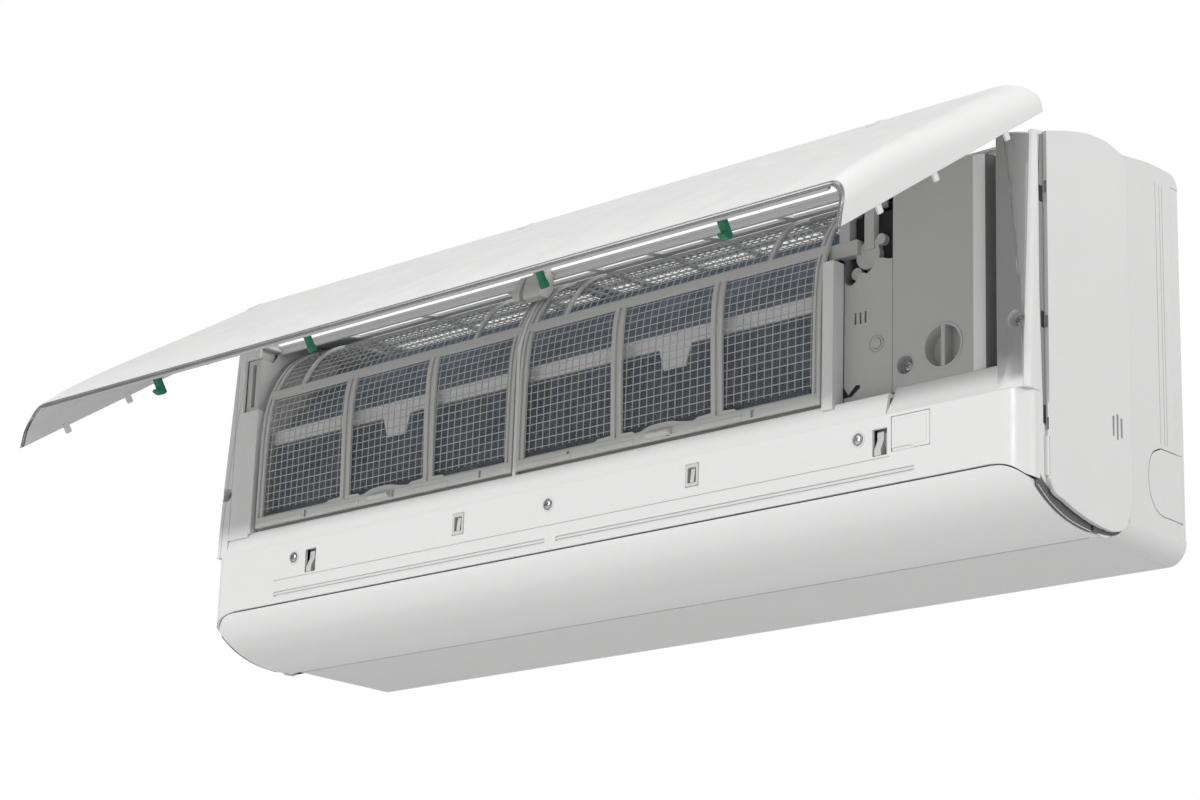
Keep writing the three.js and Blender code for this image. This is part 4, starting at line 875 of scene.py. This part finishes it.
def make_filter(side, x0, x1, columns, curved, notches):
    parts = [rib(0, LEN, x0 + 4, 4, -1.5), rib(0, LEN, x1 - 4, 4, -1.5)]
    # each edge carries two ridges with a channel between them
    parts += [rib(0, LEN, x0 + 1.5, 1.5, 0.3, -1.6, 0.5), rib(0, LEN, x0 + 6.7, 1.3, 0.0, -1.6, 0.5)]
    parts += [rib(0, LEN, x1 - 1.5, 1.5, 0.3, -1.6, 0.5), rib(0, LEN, x1 - 6.7, 1.3, 0.0, -1.6, 0.5)]
    s_cross = s_at_z(227.6)
    for c in columns:
        parts.append(rib(0, s_cross, c + 1.4, 5.6, -1.7, -2.7, 0.3, lean=-4.5))
        parts.append(rib(0, s_cross, c - 1.9, 2.3, 0.1, -1.8, 0.5, lean=-4.5))
        parts.append(rib(0, s_cross, c + 5.1, 1.8, -0.2, -1.8, 0.5, lean=-4.5))
    for c in curved:
        # the upper ribs follow the curve without lean; on the real filter they lean a little
        parts.append(rib(s_cross - 2, LEN, c, 1.8))
    parts.append(X(strip_of(clip(FL, s_at_z(224), s_at_z(231.4)), 0.05, -2.6), x0 + 1, x1 - 1))
    parts.append(X(strip_of(clip(FL, s_at_z(279.2), s_at_z(282.3)), 0.0, -2.6), x0 + 1, x1 - 1))
    parts.append(X(strip_of(clip(FL, LEN - 8, LEN), 0.0, -2.6), x0 + 1, x1 - 1))
    # bottom rail with notches and a pull tab
    rail = X([(-198.0, 106.4), (-198.3, 107.2), (-198.3, 114.2), (-197.9, 115.2), (-195.4, 115.2), (-195.4, 106.4)], x0 + 1, x1 - 1)
    mid = (columns[0] + columns[1]) / 2
    nts = [B(t - 1.2, t + 1.8, -200, -196.4, 107.4, 113.4) for t in notches]
    rail = cut(rail, nts)
    parts.append(rail)
    # raised shoulders beside the columns, and the tab in the middle panel
    for c, d in ((columns[0], -1), (columns[0], 1), (columns[1], -1), (columns[1], 1)):
        xs = sorted((c + d * 2, c + d * 22))
        zt = [(c + d * 2, 115), (c + d * 2, 118.2), (c + d * 18, 117.4), (c + d * 22, 115)]
        parts.append(Y(zt if d > 0 else zt[::-1], -197.9, -195.6))
    tab = smooth([(mid - 30, 114.8), (mid - 24, 115.6), (mid - 18, 117.6), (mid - 13, 118.7), (mid - 2, 119.2), (mid + 8, 118.8), (mid + 14, 117.4), (mid + 21, 116.2), (mid + 30, 114.8)], 4)
    parts.append(Y(tab, -198.6, -195.6))
    pull = X([(-198.2, 108), (-201.6, 108.6), (-202.9, 109.6), (-203, 111), (-202.2, 111.8), (-199.4, 112.6), (-198.2, 114.6)], mid - 16, mid + 8)
    pull = cut(pull, Y([(mid - 7, 113.2), (mid - 1, 113.2), (mid - 4, 110.4)], -205, -199.5))
    parts.append(pull)
    # two shallow steps of the rail's lower flange
    for a, b in ((x0 + 1, x0 + 60), (columns[0] - 20, columns[0] + 20), (columns[1] - 20, columns[1] + 26)):
        parts.append(X([(-198.2, 106.3), (-198.75, 106.6), (-198.75, 110.6), (-198.2, 111)], a, b))
    body = f"filter_{side}"
    piece(f"filter_rails_{side}", body, parts, "inner", replaces=f"filter_frame_{side}", sharp=35)
    # net: coarse threads as solid bars, on a fine woven sheet
    line = offset(FL, -3.1)
    n = len(line)
    acc, ss = 0.0, [0.0]
    for p, q in zip(FL, FL[1:]):
        acc += math.hypot(q[0] - p[0], q[1] - p[1])
        ss.append(acc)
    s0, threads = s_at_z(110), []
    nx = int((x1 - x0 - 8) / 7.2)
    sub = [p for i, p in enumerate(line) if ss[i] >= s0 and i % 2 == 0] + [line[-1]]
    for i in range(nx + 1):
        x = x0 + 4 + i * (x1 - x0 - 8) / nx
        a, b = offset(sub, 0.26), offset(sub, -0.26)
        verts = []
        for p, q in zip(a, b):
            verts += [(x - 0.31, q[0], q[1]), (x - 0.31, p[0], p[1]), (x + 0.31, p[0], p[1]), (x + 0.31, q[0], q[1])]
        m = len(sub)
        f = [[0, 1, 2, 3], [4 * (m - 1) + k for k in range(4)]]
        for j in range(m - 1):
            for k in range(4):
                f.append([4 * j + k, 4 * j + (k + 1) % 4, 4 * j + 4 + (k + 1) % 4, 4 * j + 4 + k])
        threads.append((verts, f))
    ny = int((LEN - s0) / 6.6)
    for j in range(ny + 1):
        s = s0 + j * (LEN - s0 - 0.5) / ny
        seg = clip(FL, max(0, s - 0.31), min(LEN, s + 0.31))
        if len(seg) < 2:
            continue
        seg = [seg[0], seg[-1]]
        o = strip_of(seg, -3.1 + 0.26, -3.1 - 0.26)
        verts = [(x0 + 3, p[0], p[1]) for p in o] + [(x1 - 3, p[0], p[1]) for p in o]
        threads.append((verts, [[0, 1, 2, 3], [4, 5, 6, 7], [0, 1, 5, 4], [1, 2, 6, 5], [2, 3, 7, 6], [3, 0, 4, 7]]))
    av, af = [], []
    for v, f in threads:
        b0 = len(av)
        av += v
        af += [[b0 + i for i in q] for q in f]
    lattice = raw(av, af)
    piece(f"filter_lattice_{side}", body, lattice, "net", replaces=f"filter_mesh_{side}", sharp=30)
    # fine sheet with its own weave coordinates
    sh = offset(FL, -3.1 - 0.3)
    verts, f, uvs = [], [], []
    for i, p in enumerate(sh):
        for x in (x0 + 1.5, x1 - 1.5):
            verts.append(((x) * 0.001, p[0] * 0.001, (p[1] - 150) * 0.001))
            uvs.append((x, ss[i]))
    for i in range(len(sh) - 1):
        f.append([2 * i, 2 * i + 1, 2 * i + 3, 2 * i + 2])
    me = bpy.data.meshes.new(f"filter_weave_{side}")
    me.from_pydata(verts, [], f)
    uv = me.uv_layers.new(name="weave")
    for lp in me.loops:
        uv.data[lp.index].uv = uvs[lp.vertex_index]
    me.shade_smooth()
    me.materials.append(M["weave"])
    ob = bpy.data.objects.new(f"filter_weave_{side}", me)
    bpy.context.scene.collection.objects.link(ob)
    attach(ob, body)

make_filter("left", -378, -70, (-267, -167), (-338, -127), (-314, -206, -105))
make_filter("right", -65, 243, (41, 143), (-25, 186), (-8, 96, 179))

# ------------------------------------------------------------------ electrical box, cover and brackets
def make_ebox():
    e = cut(B(256.2, 300, -187, -134, 106, 271.2), B(260.5, 301, -184.5, -136.5, 114.5, 268.7))
    e = add(e, cut(B(299.5, 378, -172, -134, 112, 271.2), B(295, 375.5, -180, -136.5, 114.5, 268.7)))
    rec = [(250, 252.4), (301, 252.4), (301, 209.7), (297.3, 209.7), (290, 212.2), (285.8, 212.3), (281.5, 206), (277.2, 202.7), (272, 204.2), (268.8, 203.6), (266.8, 198.8), (262.7, 196), (258, 197.4), (254.5, 203), (250, 207)]
    e = cut(e, Y(rec, -190, -176), B(250, 300.1, -190, -172.4, 252, 275), Y(ring(286, 147, 4.3, 32), -190, -180),
            [Y(rrect(265.6 + i * 4.6, 267.4 + i * 4.6, 165, 174, 0.5, 3), -190, -180) for i in range(3)])
    e = cut(e, cut(Y(ring(286, 147, 6.6, 36), -190, -186.6), Y(ring(286, 147, 5.9, 36), -191, -185)))
    piece("ebox_body", "wall_unit", e, "grey", replaces="electrical_box", sharp=30)
    prof = [(300.4, -187), (370, -187)] + smooth([(370, -187), (375, -186.8), (379, -185.6), (382, -183), (383.4, -179.5), (383.5, -175.4)], 5)[1:] + [(381, -175.4), (381, -180.5), (378.6, -184), (375, -184.6), (300.4, -184.6)]
    c = Z(prof, 107, 272)
    c = add(c, Y(ring(345, 134, 17.6, 40), -184.8, -175.6))
    well = cut(Y(ring(345, 134, 15.5, 48), -190, -177), B(343.3, 346.7, -190, -170, 110, 160))
    c = add(c, Y(ring(311.6, 126, 9.0, 36), -184.9, -177.6))
    c = cut(c, well, Y(ring(311.6, 126, 7.0, 36), -190, -180.6), Y(ring(311.6, 126, 2.6, 20), -190, -170))
    # seat ring round the screw and a fine line round the grip
    c = add(c, cut(Y(ring(311.6, 126, 7.8, 36), -187.3, -186.8), Y(ring(311.6, 126, 7.0, 36), -189, -185)))
    c = add(c, cut(Y(ring(345, 134, 17.4, 48), -187.45, -186.8), Y(ring(345, 134, 15.5, 48), -189, -185)))
    piece("ebox_cover", "wall_unit", c, "grey", replaces="electrical_cover", sharp=30)
    # sheets over the cover's rounded right edge: painted highlight on the near curve, painted shade on the far curve
    # into the gap
    edge = smooth([(371.5, -187), (375, -186.8), (378.4, -185.8), (380.4, -184.6)], 5)
    far = smooth([(380.4, -184.6), (382, -183), (383.4, -179.5), (383.5, -175.4)], 5)
    piece("cover_edge_painted_light", "wall_unit", [Z(offset(edge, -0.12) + offset(edge, 0.3)[::-1], 107.2, 271.8), (Z(offset(far, -0.12) + offset(far, 0.3)[::-1], 107.2, 271.8), 1)], ["lighter", "shade"], sharp=50)
    # thin sheet over the right column's face and the start of its rounded corner, carrying the painted shadow of the
    # open panel
    face = cut(B(401.2, 423, -200.55, -200.32, 86.6, 275), corner_block(), Y(ring(416.2, 136, 6.3, 32), -202, -199))
    turn = cut(corner_rows(2.98, 3.12, 86.6, 275, 18), B(422.6, 440, -230, -150, 60, 300), B(380, 401.3, -230, -150, 60, 300), B(380, 440, -230, -200.34, 60, 300), B(380, 440, -190, -150, 60, 300), Y(ring(416.2, 136, 6.3, 32), -230, -150))
    piece("column_face_right", "wall_unit", [face, turn], "column", sharp=50)
    piece("screw_cover", "wall_unit", screw(311.6, -184.0, 126, 4.0), "steel", replaces="cover_screw", sharp=40)
    b = Y(ring(275, 218, 10.8, 44), -183.5, -177.5)
    b = add(b, [Y(ring(x, z, r, 24), -183.5, -177.5) for x, z, r in ((286.6, 228.5, 4.2), (264.6, 205.6, 4.8))], Y([(275, 226), (286, 231), (284, 220), (277, 214)], -183.4, -177.6))
    b = add(b, Y([(272.2, 222), (281, 222), (281, 262), (272.2, 262)], -184.4, -177.5), Y([(250.5, 226), (260, 226), (260, 262), (250.5, 262)], -186.4, -177.7),
            B(241.5, 268, -187.4, -179, 219.6, 231), Y([(262, 255), (288, 255), (288, 275.4), (300.3, 275.4), (300.3, 280), (281, 280), (262, 268.6)], -183, -176.2))
    piece("bracket_right", "wall_unit", [b] + ears(290, 296, [(-183, 276), (-176.2, 276)]), "grey", replaces="hinge_bracket_right", sharp=30)
    # near-black plates behind the bracket and in the box's recess, painted shadow
    dark = [B(241.6, 250.4, -184, -180, 211, 219.4), B(257, 299.6, -178.4, -177.9, 197.5, 251)]
    clipv = [Y([(253, 119.1), (256.4, 118.4), (260.8, 111.8), (262.9, 110.8), (255.2, 110.5)], -187.5, -186.9), Y([(260.8, 111.9), (267.8, 118.6), (271.3, 118), (270.6, 115.8), (262.9, 110.6)], -187.5, -186.9)]
    piece("box_shadow_gaps", "wall_unit", dark + clipv, "slot")
    ctr = X([(-180.8, 254), (-190, 254)] + smooth([(-190, 254), (-191, 259), (-189, 267), (-184, 276)], 4)[1:] + [(-175, 276), (-175, 262)], -82, -53)
    ctr = cut(ctr, B(-76, -72, -195, -184, 250, 280))
    ctr = add(ctr, X(ring(-184.5, 262, 5.2, 28), -86, -81))
    piece("bracket_centre", "wall_unit", [ctr] + ears(-64, -60, [(-184, 274), (-175.6, 274)]), "inner", replaces="hinge_bracket_centre", sharp=30)
    l = cut(B(-401.8, -386.4, -196.9, -182, 215, 262), B(-396, -391.5, -199, -187, 219, 258))
    l = add(l, B(-400, -391, -192, -177, 261.8, 280), B(-404, -387, -190, -176.4, 276.4, 280))
    piece("bracket_left", "wall_unit", [l] + ears(-399, -393, [(-186, 278), (-176.4, 278)]), "inner", replaces="hinge_bracket_left", sharp=30)

def ears(a, b, foot, t=3.4):
    prof = foot + arc(HINGE[0], HINGE[1], 3.9, 20, 160, 14)
    return [X(prof, a - 0.9 - t, a - 0.9), X(prof, b + 0.9, b + 0.9 + t), X(ring(HINGE[0], HINGE[1], 1.9, 20), a - 1.2, b + 1.2)]

make_ebox()

# ------------------------------------------------------------------ rear chassis and pipe cover
def make_chassis():
    outer = [(-105.5, 0)] + arc(-2.2, 2.2, 2.2, 270, 360, 6) + [(0, 28), (-10, 28), (-10, 272), (0, 272)] + arc(-12, 288, 12, 0, 90, 12) + [(-40, 299.4)]
    inner = [(-40, 297), (-12, 297.5), (-2.5, 288), (-2.5, 274.5), (-12.5, 274.5), (-12.5, 25.5), (-2.5, 25.5), (-2.5, 2.5), (-105.5, 2.5)]
    c = X(outer + inner, -HC, HC)
    side = [(-74.6, 2)] + arc(-2.2, 2.2, 2.1, 270, 360, 6) + arc(-12, 288, 11.9, 0, 90, 12) + [(-40, 299.4), (-74.6, 294.5)]
    cheek = add(X(side, HC - SHELL, HC), B(405.5, HC - 0.2, -74.6, -2, 0.4, 20))
    cm = mirrored(cheek)
    c = add(c, cheek, cm)
    under = [(406, -1)] + arc(408, 17, 17, 270, 360, 20) + [(426.5, 17), (426.5, -1)]
    fill = X([(-74.5, 28.6), (-82.0, 11.2), (-91.0, 4.6), (-98.6, 0.4), (-74.5, 0.4)], 405.5, HC - 0.2)
    fm = mirrored(fill)
    c = add(c, fill, fm)
    c = cut(c, Y(under, -106, 1), Y([(-x, z) for x, z in under], -106, 1))
    c = cut(c, B(120, 330, -13.5, -9, 34, 66), B(-404, -300, -13.5, -9, 34, 66))
    for x in (-180, 180):
        c = add(c, X([(-10.4, 250.5), (-10.4, 254), (-2.6, 254), (-2.6, 240), (-5.6, 240), (-5.6, 250.5)], x - 24, x + 24))
    cuts = []

    def knock(g):
        curve = [(-31 + g, 29.4 + g), (-38.5 + g, 32 + g), (-44.6 + g, 38.2 + g), (-48.2 + g, 47), (-48.6 + g, 59.6), (-46.6 + g, 69.4), (-41.8 + g, 76 - g), (-32 + g, 80.6 - g)]
        return [(-3.2 - g, 29.4 + g)] + smooth(curve, 4) + [(-3.2 - g, 81 - g)]

    cuts += [X(knock(0), HC - 4, HC + 1)]
    c = cut(c, cuts)
    # a slightly sunk band along the rear of each side, with a fine line in front of it
    lines = []
    for q in (-1, 1):
        x0, x1 = sorted((q * (HC - 0.55), q * (HC + 1)))
        lines.append(B(x0, x1, -10.6, 1, 17.2, 289))
        x0, x1 = sorted((q * (HC - 0.2), q * (HC + 1)))
        for y in (-31.5, -26.0, -22.5):
            lines.append(B(x0, x1, y - 0.25, y + 0.25, 84, 286))
    c = cut(c, lines)
    piece("chassis", "wall_unit", c, "chassis", replaces="rear_chassis", sharp=28)
    pc = add(X(knock(0.7), HC - 2.2, HC), B(HC - 3.6, HC - 2.1, -42, -8, 40, 71))
    piece("cover_pipe", "wall_unit", pc, "chassis", replaces="pipe_cover", sharp=28, bevel=0.3)

make_chassis()

# ------------------------------------------------------------------ stage
def make_stage():
    me = bpy.data.meshes.new("floor")
    s, z = 9.0, -1.55
    me.from_pydata([(-s, -s, z), (s, -s, z), (s, s, z), (-s, s, z)], [], [[0, 1, 2, 3]])
    m, nt, b, out = new_mat("floor_pale")
    nt.links.new(ramp(nt, noise(nt, objco(nt), 0.6, 2.0), [(0.3, (0.76, 0.76, 0.76)), (0.7, (0.80, 0.80, 0.80))]), b.inputs["Base Color"])
    b.inputs["Roughness"].default_value = 0.9
    me.materials.append(m)
    floor = bpy.data.objects.new("floor", me)
    bpy.context.scene.collection.objects.link(floor)
    w = bpy.data.worlds.new("studio")
    bpy.context.scene.world = w
    w.use_nodes = True
    nt = w.node_tree
    nt.nodes.clear()
    out = nt.nodes.new("ShaderNodeOutputWorld")
    seen = node(nt, "ShaderNodeBackground", Strength=1.0)
    seen.inputs["Color"].default_value = (1, 1, 1, 1)
    lit = node(nt, "ShaderNodeBackground", Strength=0.42)
    lit.inputs["Color"].default_value = (1, 1, 1, 1)
    lp = nt.nodes.new("ShaderNodeLightPath")
    mix = nt.nodes.new("ShaderNodeMixShader")
    nt.links.new(lp.outputs["Is Camera Ray"], mix.inputs[0])
    nt.links.new(lit.outputs[0], mix.inputs[1])
    nt.links.new(seen.outputs[0], mix.inputs[2])
    nt.links.new(mix.outputs[0], out.inputs[0])

    def area(name, az, el, dist, size, power, aim=(0, -0.15, 0.0)):
        """az: degrees right of straight in front. el: degrees up."""
        a, e = math.radians(az), math.radians(el)
        d = Vector((math.sin(a) * math.cos(e), -math.cos(a) * math.cos(e), math.sin(e)))
        l = bpy.data.lights.new(name, "AREA")
        l.shape, l.size, l.energy = "DISK", size, power
        o = bpy.data.objects.new(name, l)
        o.location = Vector(aim) + d * dist
        o.rotation_euler = (-d).to_track_quat("-Z", "Y").to_euler()
        bpy.context.scene.collection.objects.link(o)
        o.visible_camera = False
        return o

    area("key", -5, 16.6, 4.0, 0.36, 80)
    area("side", 102, 26, 4.0, 2.2, 70)
    area("top", 5, 80, 4.0, 2.4, 34)
    area("low", -32, -26, 4.0, 2.2, 18)

make_stage()
bpy.data.collections.remove(WORK)
sc = bpy.context.scene
sc.view_settings.view_transform = "Standard"
sc.view_settings.look = "None"
sc.cycles.max_bounces = 8
sc.cycles.transparent_max_bounces = 16
